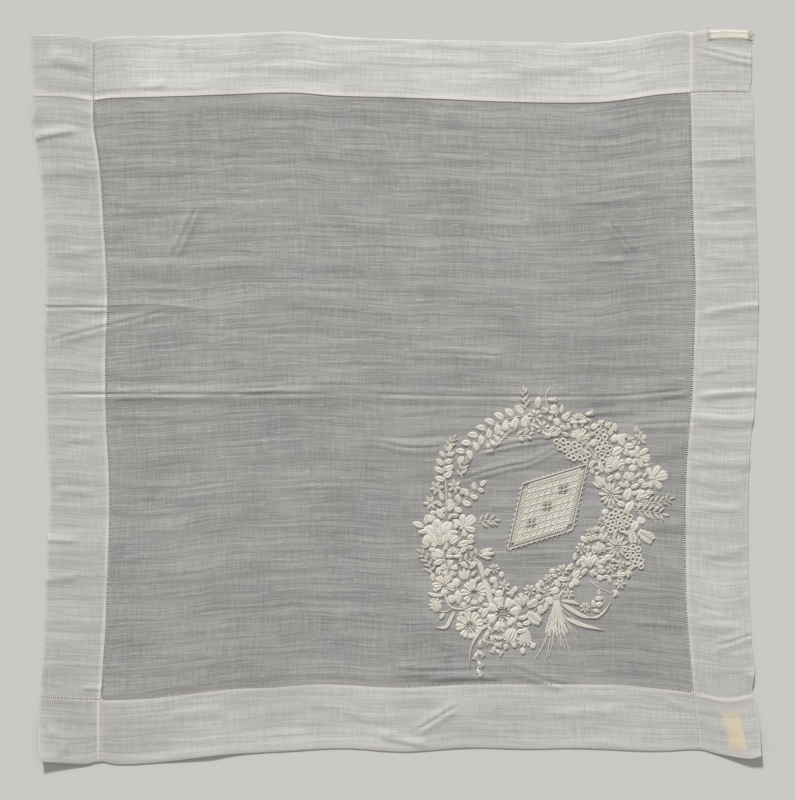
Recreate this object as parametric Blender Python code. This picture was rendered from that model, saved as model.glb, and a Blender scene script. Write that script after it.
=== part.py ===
"""Embroidered handkerchief.

One square of sheer white linen lies face up on a flat surface. Its four wide hems are the same
cloth folded over and caught down along a hemstitch line. A whitework wreath stands up from the
lower right quarter, and a short strip of tape is sewn along the edge of the top right corner.

The tables are in millimetres. X runs to the right across the face, Y up it, and Z out of it.
The origin is on the surface that the cloth rests on, under the middle of its outline.
"""

import math
from typing import NamedTuple

import bmesh
import bpy

MM = 0.001

# The cloth before its sides wander: where each side lies, and how wide its hem is.
LEFT_SIDE = -229.0
RIGHT_SIDE = 233.0
BOTTOM_SIDE = -231.0
TOP_SIDE = 231.0
LEFT_HEM = 39.4
RIGHT_HEM = 39.9
BOTTOM_HEM = 41.0
TOP_HEM = 39.4

# Thickness of the single cloth, of the hem, and of the dip along the hemstitch line.
CLOTH_THICK = 1.0
HEM_THICK = 1.6
STITCH_DIP = 0.25
STITCH_HALF = 1.2

# Spacing of the face's points on the plain cloth, and how finely they split under the wreath.
CLOTH_PITCH = 10.0
HEM_STEPS = 5
WREATH_CUTS = 2
SAME_PLACE = 1e-6

# The wreath's middle on the cloth, and half the side of the square it is worked in.
WREATH_X = 94.3
WREATH_Y = -80.1
WREATH_REACH = 92.0
PAD_HEIGHT = 1.2
LEAF_HEIGHT = 0.8
PETAL_DIP = 0.2

# A leaf on a stem, in leaf lengths: how far its middle is from the stem, and its round radius.
LEAF_ASIDE = 0.55
LEAF_RADIUS = 0.48

# The share of a fold's length over which it rises at either end.
FOLD_FADE = 0.2

# How often a point's place is worked out again with the side offsets of where it came to lie.
WANDER_PASSES = 4

# The trellis medallion inside the wreath: its middle, length, width and tilt.
MEDALLION_X = 98.5
MEDALLION_Y = -71.5
MEDALLION_LENGTH = 76.0
MEDALLION_WIDTH = 44.0
MEDALLION_TILT = math.radians(47.0)
MEDALLION_RIM = 3.6
MEDALLION_RIM_HEIGHT = 0.8
MEDALLION_HEIGHT = 0.4

# The tape on the top right corner.
TAPE_LEFT = 203.6
TAPE_RIGHT = 229.2
TAPE_LOW = 232.2
TAPE_HIGH = 237.6
TAPE_THICK = 1.0
TAPE_STEPS = 10
TAPE_ROWS = 4
TAPE_SAG = 0.5
TAPE_FRAY = 1.6
PIECE_GAP = 0.3


class SideRow(NamedTuple):
    """A place along one side, and how far the side stands outside its straight line there."""

    along: float
    out: float


class Fold(NamedTuple):
    """A raised fold from one point to another: its height, half its width, and its bow."""

    x0: float
    y0: float
    x1: float
    y1: float
    height: float
    half_width: float
    bow: float


class Curl(NamedTuple):
    """A corner or edge that lifts off the surface towards a point."""

    x: float
    y: float
    reach: float
    height: float


class Bloom(NamedTuple):
    """A padded flower or bud on the wreath, measured from the wreath's middle."""

    x: float
    y: float
    size: float
    petals: int


class LeafRun(NamedTuple):
    """A stem with paired padded leaves, measured from the wreath's middle."""

    x0: float
    y0: float
    x1: float
    y1: float
    bow: float
    pairs: int
    leaf: float


# The outer edges.
LEFT_ROWS = (
    SideRow(-236, 1.6), SideRow(-210, 2.9), SideRow(-195, 1.2), SideRow(-180, 0.9),
    SideRow(-161, -0.9), SideRow(-122, -2.0), SideRow(-88, -3.4), SideRow(-66, -4.7),
    SideRow(-26, -2.5), SideRow(3, -1.9), SideRow(27, -0.5), SideRow(57, -1.9),
    SideRow(84, -2.4), SideRow(108, -0.9), SideRow(147, 1.8), SideRow(166, 4.6),
    SideRow(178, 6.8), SideRow(196, 6.3), SideRow(235, 7.6),
)
RIGHT_ROWS = (
    SideRow(-233, 3.6), SideRow(-212, 2.5), SideRow(-199, 0.0), SideRow(-190, -1.9),
    SideRow(-177, -0.3), SideRow(-159, -2.5), SideRow(-111, -4.4), SideRow(-53, -4.2),
    SideRow(-31, -3.1), SideRow(-12, -0.8), SideRow(2, 0.3), SideRow(64, 2.1),
    SideRow(103, 1.1), SideRow(153, -0.3), SideRow(192, -1.6), SideRow(199, -3.4),
    SideRow(208, -2.2), SideRow(237, -3.1),
)
BOTTOM_ROWS = (
    SideRow(-231, 5.1), SideRow(-202, 7.3), SideRow(-192, 5.7), SideRow(-182, 7.5),
    SideRow(-163, 7.0), SideRow(-136, 4.2), SideRow(-114, 1.5), SideRow(-85, -0.2),
    SideRow(-35, -2.8), SideRow(6, -0.5), SideRow(45, -3.2), SideRow(87, -2.4),
    SideRow(120, -2.8), SideRow(168, -0.8), SideRow(197, -2.1), SideRow(209, 0.6),
    SideRow(229, 3.7), SideRow(237, 1.7),
)
TOP_ROWS = (
    SideRow(-237, 3.6), SideRow(-219, 4.1), SideRow(-204, 2.9), SideRow(-196, 0.3),
    SideRow(-188, 2.3), SideRow(-125, 3.6), SideRow(-85, 5.4), SideRow(-63, 5.8),
    SideRow(-46, 3.6), SideRow(-19, 1.7), SideRow(47, 0.0), SideRow(87, -0.9),
    SideRow(115, -1.6), SideRow(137, -0.2), SideRow(153, 2.0), SideRow(170, 4.7),
    SideRow(186, 6.5), SideRow(191, 5.5), SideRow(203, 7.2), SideRow(229, 7.2),
)

# The hemstitch lines, which wander a little less than the edges outside them.
LEFT_SEAM_ROWS = (
    SideRow(-236, 2.2), SideRow(-197, 2.0), SideRow(-184, 1.1), SideRow(-169, 0.2),
    SideRow(-153, -1.0), SideRow(-130, -1.8), SideRow(-98, -3.1), SideRow(-67, -3.7),
    SideRow(-44, -3.0), SideRow(-20, -1.7), SideRow(3, -1.1), SideRow(30, -1.2),
    SideRow(57, -2.4), SideRow(81, -1.8), SideRow(112, 0.2), SideRow(143, 2.1),
    SideRow(159, 4.1), SideRow(175, 6.5), SideRow(190, 6.8), SideRow(235, 6.2),
)
RIGHT_SEAM_ROWS = (
    SideRow(-230, 4.1), SideRow(-193, 0.3), SideRow(-169, -2.0), SideRow(-153, -3.3),
    SideRow(-130, -4.6), SideRow(-90, -5.2), SideRow(-52, -4.7), SideRow(-28, -3.3),
    SideRow(-13, -2.0), SideRow(3, -0.7), SideRow(42, 0.6), SideRow(73, 1.3),
    SideRow(112, 0.0), SideRow(160, -1.2), SideRow(190, -1.7), SideRow(200, -2.3),
    SideRow(235, -2.5),
)
BOTTOM_SEAM_ROWS = (
    SideRow(-230, 5.2), SideRow(-195, 6.9), SideRow(-174, 6.5), SideRow(-151, 5.0),
    SideRow(-127, 1.9), SideRow(-104, -0.4), SideRow(-81, -1.3), SideRow(-57, -3.3),
    SideRow(-34, -3.2), SideRow(-11, -1.6), SideRow(13, -1.4), SideRow(44, -3.2),
    SideRow(91, -3.4), SideRow(138, -3.2), SideRow(155, -2.4), SideRow(169, -0.7),
    SideRow(185, 1.0), SideRow(201, 3.6), SideRow(213, 6.0), SideRow(222, 5.4),
    SideRow(232, 3.4),
)
TOP_SEAM_ROWS = (
    SideRow(-237, 3.9), SideRow(-215, 3.3), SideRow(-205, 2.0), SideRow(-196, 0.9),
    SideRow(-186, 2.2), SideRow(-151, 3.2), SideRow(-112, 4.5), SideRow(-81, 5.7),
    SideRow(-63, 5.6), SideRow(-42, 3.9), SideRow(-10, 2.9), SideRow(29, 1.7),
    SideRow(52, 0.6), SideRow(91, -0.6), SideRow(122, -0.7), SideRow(138, 0.0),
    SideRow(153, 1.9), SideRow(169, 4.3), SideRow(185, 5.6), SideRow(197, 6.2),
    SideRow(215, 6.4), SideRow(232, 6.0),
)

# The old press fold that crosses the cloth, and the folds of its hems and its middle.
FOLDS = (
    Fold(-240, 1.5, -25, 1.5, 1.2, 7.5, 0.0),
    Fold(-40, 2.5, 150, 0.5, 1.0, 7.5, -1.5),
    Fold(120, -0.5, 194, 5.0, 1.0, 7.0, -1.0),
    Fold(242, 5.2, 192, 1.6, 1.2, 7.5, -0.5),
    Fold(-240, 58.0, -182, 58.0, 1.2, 7.0, 0.0),
    Fold(-200, 57.5, -126, 57.0, 1.1, 7.0, 2.8),
    Fold(-230, 35.0, -144, 57.0, 1.0, 7.0, 0.0),
    Fold(-240, 164.0, -205, 171.5, 1.3, 7.0, 1.5),
    Fold(-234, 146.0, -188, 146.5, 0.9, 7.0, 0.5),
    Fold(-232, -94.0, -206, -95.0, 0.9, 7.0, 0.0),
    Fold(-206, -115.5, -234, -118.0, 1.0, 7.0, 0.0),
    Fold(-221, -212.0, -214, -234.0, 1.4, 7.0, 0.0),
    Fold(-226, 222.0, -200, 213.0, 1.3, 8.0, 1.0),
    Fold(-145, 90.0, -128, 126.0, 1.5, 7.0, 0.0),
    Fold(-188, 83.5, -92, 88.5, 0.9, 7.0, -1.5),
    Fold(1, 28.5, 74, 25.5, 0.9, 7.0, 1.0),
    Fold(-12, -29.0, 34, -31.0, 1.1, 7.0, -3.5),
    Fold(86, 128.0, 168, 127.0, 0.7, 7.0, 1.0),
    Fold(136, 117.0, 155, 92.0, 1.4, 7.0, 0.0),
    Fold(150, -19.0, 195, -17.0, 1.2, 7.0, 0.5),
    Fold(164, -38.5, 190, -33.0, 0.8, 7.0, 0.0),
    Fold(158, -85.5, 192, -84.0, 0.9, 7.0, 1.5),
    Fold(20, -141.0, 32, -176.0, 1.4, 7.0, 1.5),
    Fold(-4, -177.0, 52, -177.5, 1.1, 7.0, -1.0),
    Fold(18, -186.0, 72, -184.5, 1.2, 7.0, 1.5),
    Fold(74, -174.0, 112, -188.0, 1.2, 7.0, -1.5),
    Fold(228, 157.5, 190, 153.5, 0.8, 7.0, 0.5),
    Fold(242, 61.5, 196, 55.0, 1.0, 7.0, -0.8),
    Fold(190, -13.5, 242, -13.0, 1.3, 7.0, -2.5),
    Fold(188, -42.0, 240, -43.5, 1.0, 7.0, 0.0),
    Fold(204, -163.5, 236, -153.5, 1.0, 7.0, 0.0),
    Fold(10, -219.0, 42, -199.5, 1.1, 7.0, 0.0),
    Fold(-14, -220.5, 22, -228.5, 1.0, 7.0, 0.0),
    Fold(192, 227.5, 240, 216.5, 1.2, 5.5, -0.5),
    Fold(226, -176.0, 236, -209.0, 2.0, 8.0, 2.0),
)

# The corners and stretches of hem that stand up off the surface.
CURLS = (
    Curl(-234, -239, 52.0, 6.5),
    Curl(240, -236, 48.0, 6.0),
    Curl(-240, 238, 34.0, 2.4),
    Curl(-238, 182, 26.0, 2.0),
    Curl(-120, -236, 44.0, 1.6),
)

BLOOMS = (
    Bloom(-68.0, 21.0, 10.0, 6), Bloom(-55.5, 20.0, 10.5, 6), Bloom(-72.5, 9.5, 9.5, 6),
    Bloom(-64.5, -9.0, 20.0, 5), Bloom(-46.5, 1.0, 15.0, 5), Bloom(-56.0, -23.5, 9.0, 3),
    Bloom(-35.0, -21.5, 8.0, 3), Bloom(-60.5, -32.5, 12.5, 4), Bloom(-64.5, -44.0, 14.5, 5),
    Bloom(-48.5, -36.0, 9.5, 3), Bloom(-44.0, -50.0, 15.0, 5), Bloom(-69.0, -57.0, 8.0, 4),
    Bloom(-47.5, -69.5, 17.0, 8), Bloom(-24.5, -60.5, 19.5, 8), Bloom(-30.5, -32.0, 7.5, 6),
    Bloom(-23.5, -44.0, 8.0, 6), Bloom(-8.0, -47.5, 8.5, 6), Bloom(3.5, -45.5, 8.5, 6),
    Bloom(6.0, -36.5, 8.0, 6), Bloom(15.5, -32.5, 8.5, 6), Bloom(-13.0, -56.0, 9.5, 3),
    Bloom(-3.5, -60.0, 11.0, 5), Bloom(-19.5, -76.0, 9.5, 4), Bloom(-8.5, -76.5, 11.0, 5),
    Bloom(-29.0, -82.0, 7.5, 3), Bloom(18.5, -47.5, 8.0, 6), Bloom(24.0, -36.5, 8.0, 3),
    Bloom(27.0, -18.5, 8.5, 6), Bloom(33.0, -8.0, 7.5, 6), Bloom(33.5, -28.5, 13.0, 5),
    Bloom(38.0, -18.0, 10.0, 4), Bloom(49.5, -17.0, 14.0, 14), Bloom(40.5, -5.5, 8.0, 3),
    Bloom(51.5, 1.0, 17.0, 4), Bloom(62.5, -23.5, 12.0, 3), Bloom(46.0, -31.5, 8.5, 6),
    Bloom(53.5, -30.5, 7.5, 6), Bloom(51.5, -41.5, 8.0, 6), Bloom(61.0, -8.5, 10.5, 2),
    Bloom(70.5, -11.0, 12.0, 2), Bloom(59.5, 11.0, 9.5, 2), Bloom(66.5, 16.0, 10.5, 3),
    Bloom(45.0, 17.5, 16.0, 10), Bloom(57.5, 28.0, 8.5, 3), Bloom(75.0, 25.5, 17.0, 5),
    Bloom(38.0, 26.5, 9.0, 3), Bloom(48.0, 37.0, 14.0, 5), Bloom(66.5, 41.5, 12.5, 4),
    Bloom(62.5, 56.0, 8.5, 3), Bloom(51.0, 52.5, 8.5, 2), Bloom(39.5, 49.5, 13.0, 4),
    Bloom(22.0, 43.5, 15.0, 6), Bloom(26.5, 55.0, 12.5, 5), Bloom(24.5, 65.0, 12.0, 4),
    Bloom(33.0, 69.0, 7.0, 4), Bloom(7.5, 77.0, 7.5, 4), Bloom(9.0, 68.5, 7.5, 4),
    Bloom(-4.0, 68.0, 9.5, 8), Bloom(2.5, 60.0, 9.0, 8), Bloom(-10.5, 61.0, 9.5, 5),
    Bloom(13.5, 57.0, 8.5, 2), Bloom(-1.5, 77.5, 7.5, 2),
)

LEAF_RUNS = (
    LeafRun(-52.0, 31.0, -13.0, 68.5, 6.0, 6, 7.0),
    LeafRun(-61.5, 25.0, -58.0, 52.0, 4.0, 5, 6.0),
    LeafRun(-52.0, 12.0, -35.5, 24.5, 1.5, 4, 5.5),
    LeafRun(-53.0, 27.0, -46.5, 39.5, 0.5, 3, 5.0),
    LeafRun(-71.0, -38.0, -78.5, -20.0, 1.0, 5, 3.6),
    LeafRun(-40.0, -3.0, -28.0, -0.5, 0.5, 3, 5.0),
    LeafRun(-53.0, -30.0, -37.0, -22.0, 0.5, 4, 5.0),
    LeafRun(-41.5, -30.0, -31.5, -57.0, 2.5, 5, 5.0),
    LeafRun(-66.0, -52.0, -50.0, -60.0, -2.0, 3, 4.0),
    LeafRun(61.0, 3.5, 79.5, 3.0, 0.5, 5, 5.0),
    LeafRun(70.0, 9.5, 84.0, 14.0, -0.5, 4, 3.8),
    LeafRun(-9.0, 70.0, -12.0, 83.0, 0.5, 4, 4.0),
    LeafRun(42.0, 38.0, 60.5, 54.0, 1.5, 3, 6.0),
    LeafRun(14.5, 61.0, 36.5, 33.0, -2.0, 5, 5.0),
    LeafRun(-36.0, -76.0, -40.5, -98.0, -1.5, 5, 4.2),
    LeafRun(24.0, -51.0, 40.5, -55.5, -2.0, 4, 4.5),
    LeafRun(8.0, -52.0, 6.0, -74.0, 0.0, 5, 4.4),
    LeafRun(12.0, -52.0, 30.0, -70.0, 1.5, 4, 4.0),
    LeafRun(3.0, -54.0, -3.5, -78.0, 0.5, 4, 4.0),
)


def smooth(value: float) -> float:
    """An even S-shaped step from 0 to 1."""
    value = min(1.0, max(0.0, value))
    return value * value * (3.0 - 2.0 * value)


def bowed(along: float) -> float:
    """A bow's share of its full rise, which is 0 at both ends and 1 halfway."""
    return 4.0 * along * (1.0 - along)


def side_offset(rows: tuple, along: float) -> float:
    """How far a side stands out at a place along it, on a smooth curve through its rows."""
    along = min(rows[-1].along, max(rows[0].along, along))
    spot = next(i for i in range(1, len(rows)) if along <= rows[i].along)
    before = rows[max(0, spot - 2)]
    start = rows[spot - 1]
    end = rows[spot]
    after = rows[min(len(rows) - 1, spot + 1)]
    run = end.along - start.along
    t = (along - start.along) / run
    slope_start = (end.out - before.out) / (end.along - before.along) * run
    slope_end = (after.out - start.out) / (after.along - start.along) * run
    return (
        (2 * t**3 - 3 * t**2 + 1) * start.out
        + (t**3 - 2 * t**2 + t) * slope_start
        + (3 * t**2 - 2 * t**3) * end.out
        + (t**3 - t**2) * slope_end
    )


def hem_offset(edge_rows: tuple, seam_rows: tuple, along: float, depth: float) -> float:
    """How far a side stands out, from its outer edge at depth 0 to its hemstitch line at depth 1."""
    depth = min(1.0, max(0.0, depth))
    return side_offset(edge_rows, along) * (1 - depth) + side_offset(seam_rows, along) * depth


def laid(a: float, b: float) -> tuple:
    """Where a point of the straight square comes to lie once its sides wander."""
    across = smooth((a - LEFT_SIDE - LEFT_HEM) / (RIGHT_SIDE - RIGHT_HEM - LEFT_SIDE - LEFT_HEM))
    up = smooth((b - BOTTOM_SIDE - BOTTOM_HEM) / (TOP_SIDE - TOP_HEM - BOTTOM_SIDE - BOTTOM_HEM))
    left_depth = (a - LEFT_SIDE) / LEFT_HEM
    right_depth = (RIGHT_SIDE - a) / RIGHT_HEM
    bottom_depth = (b - BOTTOM_SIDE) / BOTTOM_HEM
    top_depth = (TOP_SIDE - b) / TOP_HEM
    x, y = a, b
    for _ in range(WANDER_PASSES):
        left = hem_offset(LEFT_ROWS, LEFT_SEAM_ROWS, y, left_depth)
        right = hem_offset(RIGHT_ROWS, RIGHT_SEAM_ROWS, y, right_depth)
        bottom = hem_offset(BOTTOM_ROWS, BOTTOM_SEAM_ROWS, x, bottom_depth)
        top = hem_offset(TOP_ROWS, TOP_SEAM_ROWS, x, top_depth)
        x = a - left * (1 - across) + right * across
        y = b - bottom * (1 - up) + top * up
    return x, y


def fold_height(fold: Fold, x: float, y: float) -> float:
    """The height that one fold adds at a point. It fades out at both ends."""
    run_x = fold.x1 - fold.x0
    run_y = fold.y1 - fold.y0
    length = math.hypot(run_x, run_y)
    along = ((x - fold.x0) * run_x + (y - fold.y0) * run_y) / length**2
    if not 0.0 < along < 1.0:
        return 0.0
    aside = ((y - fold.y0) * run_x - (x - fold.x0) * run_y) / length
    aside -= fold.bow * bowed(along)
    if abs(aside) >= fold.half_width:
        return 0.0
    fade = smooth(min(along, 1.0 - along) / FOLD_FADE)
    return fold.height * fade * math.cos(math.pi / 2 * aside / fold.half_width) ** 2


def curl_height(curl: Curl, x: float, y: float) -> float:
    """The height that one lifted corner or edge adds at a point."""
    near = 1.0 - math.hypot(x - curl.x, y - curl.y) / curl.reach
    return curl.height * near * near if near > 0.0 else 0.0


def lift(x: float, y: float) -> float:
    """How far the underside stands off the surface. Most of the cloth lies flat on it."""
    return sum(fold_height(f, x, y) for f in FOLDS) + sum(curl_height(c, x, y) for c in CURLS)


def thickness(a: float, b: float) -> float:
    """The cloth's thickness: more in the hem, and a dip along each hemstitch line."""
    seams = (
        LEFT_SIDE + LEFT_HEM - a,
        a - (RIGHT_SIDE - RIGHT_HEM),
        BOTTOM_SIDE + BOTTOM_HEM - b,
        b - (TOP_SIDE - TOP_HEM),
    )
    hem = min(1.0, max(0.0, max(seams) / STITCH_HALF))
    dip = 1.0 - min(1.0, min(abs(s) for s in seams) / STITCH_HALF)
    return CLOTH_THICK + (HEM_THICK - CLOTH_THICK) * hem - STITCH_DIP * dip


def run_leaves(run: LeafRun) -> list:
    """The leaves of one stem, as (x, y, radius) from the wreath's middle."""
    run_x = run.x1 - run.x0
    run_y = run.y1 - run.y0
    length = math.hypot(run_x, run_y)
    side_x = -run_y / length
    side_y = run_x / length
    leaves = []
    for pair in range(run.pairs):
        t = (pair + 0.5) / run.pairs
        for side in (-1, 1):
            off = run.bow * bowed(t) + side * LEAF_ASIDE * run.leaf
            x = run.x0 + run_x * t + side_x * off
            y = run.y0 + run_y * t + side_y * off
            leaves.append((x, y, run.leaf * LEAF_RADIUS))
    return leaves


def bloom_height(bloom: Bloom, x: float, y: float) -> float:
    """The raised dome of one flower, lower between its petals."""
    radius = bloom.size / 2
    reach = math.hypot(x - bloom.x, y - bloom.y) / radius
    if reach >= 1.0:
        return 0.0
    petal = math.cos(bloom.petals * math.atan2(y - bloom.y, x - bloom.x)) * reach
    return PAD_HEIGHT * math.sqrt(1.0 - reach**2) * (1.0 - PETAL_DIP + PETAL_DIP * petal)


def medallion_height(x: float, y: float) -> float:
    """The low raised lozenge inside the wreath, with a higher rim."""
    dx = x - (MEDALLION_X - WREATH_X)
    dy = y - (MEDALLION_Y - WREATH_Y)
    along = dx * math.cos(MEDALLION_TILT) + dy * math.sin(MEDALLION_TILT)
    aside = dy * math.cos(MEDALLION_TILT) - dx * math.sin(MEDALLION_TILT)
    inside = 1.0 - abs(along) / (MEDALLION_LENGTH / 2) - abs(aside) / (MEDALLION_WIDTH / 2)
    depth = inside * MEDALLION_WIDTH / 2
    if depth <= 0.0:
        return 0.0
    return MEDALLION_RIM_HEIGHT if depth < MEDALLION_RIM else MEDALLION_HEIGHT


def wreath_height(x: float, y: float, leaves: list) -> float:
    """The embroidery's height at a point measured from the wreath's middle."""
    height = medallion_height(x, y)
    for bloom in BLOOMS:
        height = max(height, bloom_height(bloom, x, y))
    for leaf_x, leaf_y, radius in leaves:
        reach = math.hypot(x - leaf_x, y - leaf_y) / radius
        if reach < 1.0:
            height = max(height, LEAF_HEIGHT * math.sqrt(1.0 - reach**2))
    return height


def grid_lines(low: float, high: float, low_hem: float, high_hem: float) -> list:
    """The places of the grid's lines from one side to the other, closer along the hemstitch."""
    low_line = low + low_hem
    high_line = high - high_hem
    inner = round((high_line - low_line) / CLOTH_PITCH)
    lines = [low + (low_hem - STITCH_HALF) * i / HEM_STEPS for i in range(HEM_STEPS + 1)]
    start = low_line + STITCH_HALF
    span = high_line - low_line - 2 * STITCH_HALF
    lines += [low_line]
    lines += [start + span * i / inner for i in range(inner + 1)]
    lines += [high_line]
    start = high_line + STITCH_HALF
    lines += [start + (high_hem - STITCH_HALF) * i / HEM_STEPS for i in range(HEM_STEPS + 1)]
    return lines


def square_grid(bm: bmesh.types.BMesh, a_lines: list, b_lines: list) -> None:
    """A flat grid whose points stand on the given lines."""
    columns = len(a_lines) - 1
    rows = len(b_lines) - 1
    bmesh.ops.create_grid(bm, x_segments=columns, y_segments=rows, size=1.0)
    for vert in bm.verts:
        column = round((vert.co.x + 1.0) / 2.0 * columns)
        row = round((vert.co.y + 1.0) / 2.0 * rows)
        vert.co = (a_lines[column], b_lines[row], 0.0)


def under_wreath(face: bmesh.types.BMFace) -> bool:
    """True for a face of the flat grid that the embroidery is worked on."""
    middle = face.calc_center_median()
    return (
        abs(middle.x - WREATH_X) < WREATH_REACH
        and -WREATH_REACH - CLOTH_PITCH < middle.y - WREATH_Y < WREATH_REACH
    )


def thicken(bm: bmesh.types.BMesh) -> list:
    """Copy the flat face upwards into a closed slab and return the upper points."""
    made = bmesh.ops.extrude_face_region(bm, geom=bm.faces[:])["geom"]
    return [item for item in made if isinstance(item, bmesh.types.BMVert)]


def plain_material(name: str, colour: tuple, roughness: float) -> bpy.types.Material:
    """A cloth material with one colour."""
    material = bpy.data.materials.new(name)
    material.use_nodes = True
    shader = material.node_tree.nodes["Principled BSDF"]
    shader.inputs["Base Color"].default_value = (*colour, 1.0)
    shader.inputs["Roughness"].default_value = roughness
    shader.inputs["Metallic"].default_value = 0.0
    return material


def add_object(bm: bmesh.types.BMesh, name: str, material: bpy.types.Material, where) -> None:
    """Turn a finished slab into a named object of the handkerchief."""
    bmesh.ops.recalc_face_normals(bm, faces=bm.faces[:])
    mesh = bpy.data.meshes.new(name)
    bm.to_mesh(mesh)
    bm.free()
    mesh.materials.append(material)
    mesh.shade_smooth()
    where.objects.link(bpy.data.objects.new(name, mesh))


def build_cloth(where: bpy.types.Collection) -> None:
    """The square of linen with its hems, its folds and its raised wreath."""
    bm = bmesh.new()
    a_lines = grid_lines(LEFT_SIDE, RIGHT_SIDE, LEFT_HEM, RIGHT_HEM)
    b_lines = grid_lines(BOTTOM_SIDE, TOP_SIDE, BOTTOM_HEM, TOP_HEM)
    square_grid(bm, a_lines, b_lines)
    edges = {edge for face in bm.faces if under_wreath(face) for edge in face.edges}
    bmesh.ops.subdivide_edges(bm, edges=list(edges), cuts=WREATH_CUTS, use_grid_fill=True)
    upper = set(thicken(bm))
    leaves = [leaf for run in LEAF_RUNS for leaf in run_leaves(run)]
    for vert in bm.verts:
        a, b = vert.co.x, vert.co.y
        x, y = laid(a, b)
        z = lift(x, y)
        if vert in upper:
            z += thickness(a, b) + wreath_height(x - WREATH_X, y - WREATH_Y, leaves)
        vert.co = (x * MM, y * MM, z * MM)
    linen = plain_material("white_linen", (0.62, 0.62, 0.60), 0.85)
    add_object(bm, "cloth", linen, where)


def build_corner_tape(where: bpy.types.Collection) -> None:
    """The strip of tape on the top right corner, frayed at its right end."""
    bm = bmesh.new()
    span = TAPE_RIGHT - TAPE_LEFT
    a_lines = [TAPE_LEFT + span * i / TAPE_STEPS for i in range(TAPE_STEPS + 1)]
    rise = (TAPE_HIGH - TAPE_LOW) / TAPE_ROWS
    b_lines = [TAPE_LOW + rise * i for i in range(TAPE_ROWS + 1)]
    square_grid(bm, a_lines, b_lines)
    for vert in bm.verts:
        along = (vert.co.x - TAPE_LEFT) / span
        frayed = round((vert.co.y - TAPE_LOW) / rise) % 2
        vert.co.y += TAPE_SAG * math.sin(math.pi * along)
        if along > 1.0 - SAME_PLACE and frayed:
            vert.co.x -= TAPE_FRAY
    upper = set(thicken(bm))
    for vert in bm.verts:
        x, y = vert.co.x, vert.co.y
        z = HEM_THICK + PIECE_GAP + lift(x, y)
        if vert in upper:
            z += TAPE_THICK
        vert.co = (x * MM, y * MM, z * MM)
    tape = plain_material("cream_tape", (0.72, 0.66, 0.55), 0.8)
    add_object(bm, "corner_tape", tape, where)


def main() -> None:
    """Build the handkerchief's pieces in their own collection."""
    for obj in list(bpy.data.objects):
        bpy.data.objects.remove(obj, do_unlink=True)
    handkerchief = bpy.data.collections.new("embroidered_handkerchief")
    bpy.context.scene.collection.children.link(handkerchief)
    build_cloth(handkerchief)
    build_corner_tape(handkerchief)


main()
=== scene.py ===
"""Looks of an embroidered handkerchief that lies flat and face up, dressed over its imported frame.

The cloth is a sheer plain-weave linen square. Its four wide hems are the same cloth folded under and
caught down along a drawn-thread hemstitch line. A whitework wreath of padded flowers and leaves lies
in the lower right quarter, round a trellis medallion, and a strip of tape is sewn to one corner.

Tables and sizes are in millimetres. X runs to the right across the face, Y up it, Z out of it.
"""

import logging
import math
from dataclasses import dataclass, field
from enum import Enum
from typing import Callable, Iterable, Optional, Sequence

import bpy
import numpy as np
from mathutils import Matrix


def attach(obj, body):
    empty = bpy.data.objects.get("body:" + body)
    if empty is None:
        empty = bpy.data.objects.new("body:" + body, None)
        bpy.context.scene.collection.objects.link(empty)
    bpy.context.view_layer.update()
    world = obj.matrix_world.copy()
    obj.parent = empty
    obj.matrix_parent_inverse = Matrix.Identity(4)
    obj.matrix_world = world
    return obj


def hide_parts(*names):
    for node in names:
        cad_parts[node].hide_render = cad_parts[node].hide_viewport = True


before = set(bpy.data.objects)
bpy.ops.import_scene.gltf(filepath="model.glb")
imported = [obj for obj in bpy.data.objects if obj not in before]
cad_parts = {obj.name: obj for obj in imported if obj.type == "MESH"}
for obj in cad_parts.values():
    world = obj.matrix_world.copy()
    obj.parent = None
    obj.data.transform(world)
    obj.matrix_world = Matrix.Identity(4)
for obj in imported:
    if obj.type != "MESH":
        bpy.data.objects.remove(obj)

MM = 0.001
FULL_TURN = 2.0 * math.pi
LOG = logging.getLogger("handkerchief")

# The UV map that holds each point's place along its threads, for the finishes.
THREAD_MAP = "thread"

# How many cells the lattice of soft_noise has each way.
NOISE_CELLS = 256

# The fixed starts of the random draws, so that each run gives the same shapes.
STITCH_SEED = 7
BAR_SEED = 5
FILLER_SEED = 61
FRAY_SEED = 44

# The wreath's middle on the cloth.
WREATH_X = 94.3
WREATH_Y = -80.1

# Heights of the cloth's layers over the surface it rests on.
UNDER_LAYER = 0.35
SINGLE_LAYER = 0.75
HEM_LAYER = 1.15


class Crease(Enum):
    """How a fold's crest is shaped across its line."""

    RIDGE = "ridge"
    GROOVE = "groove"
    PLEAT = "pleat"
    CREST = "crest"


class Petal(Enum):
    """The outline of one padded stitch shape, from its base to its tip."""

    LEAF = "leaf"
    DROP = "drop"
    FAN = "fan"
    OVAL = "oval"
    BLADE = "blade"


@dataclass(frozen=True)
class SideRow:
    """A place along one side, and how far the side stands outside its straight line there."""

    along: float
    out: float


@dataclass(frozen=True)
class Side:
    """One side of the square: its straight line, its hem's width, and how it wanders.

    The outer edge wanders by rows, and the hemstitch line by seam_rows.
    """

    line: float
    hem: float
    inward: int
    rows: tuple[SideRow, ...]
    seam_rows: tuple[SideRow, ...]

    @property
    def seam(self) -> float:
        """The straight place of this side's hemstitch line."""
        return self.line + self.inward * self.hem

    def out(self, along: np.ndarray, place: np.ndarray) -> np.ndarray:
        """How far the side stands out, from its outer edge to its hemstitch line.

        Args:
            along: Places along the side, in millimetres.
            place: Places across it, on the straight square.

        Returns:
            The outward offset at each place.
        """
        depth = np.clip(self.inward * (place - self.line) / self.hem, 0.0, 1.0)
        return wander(self.rows, along) * (1 - depth) + wander(self.seam_rows, along) * depth


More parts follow.
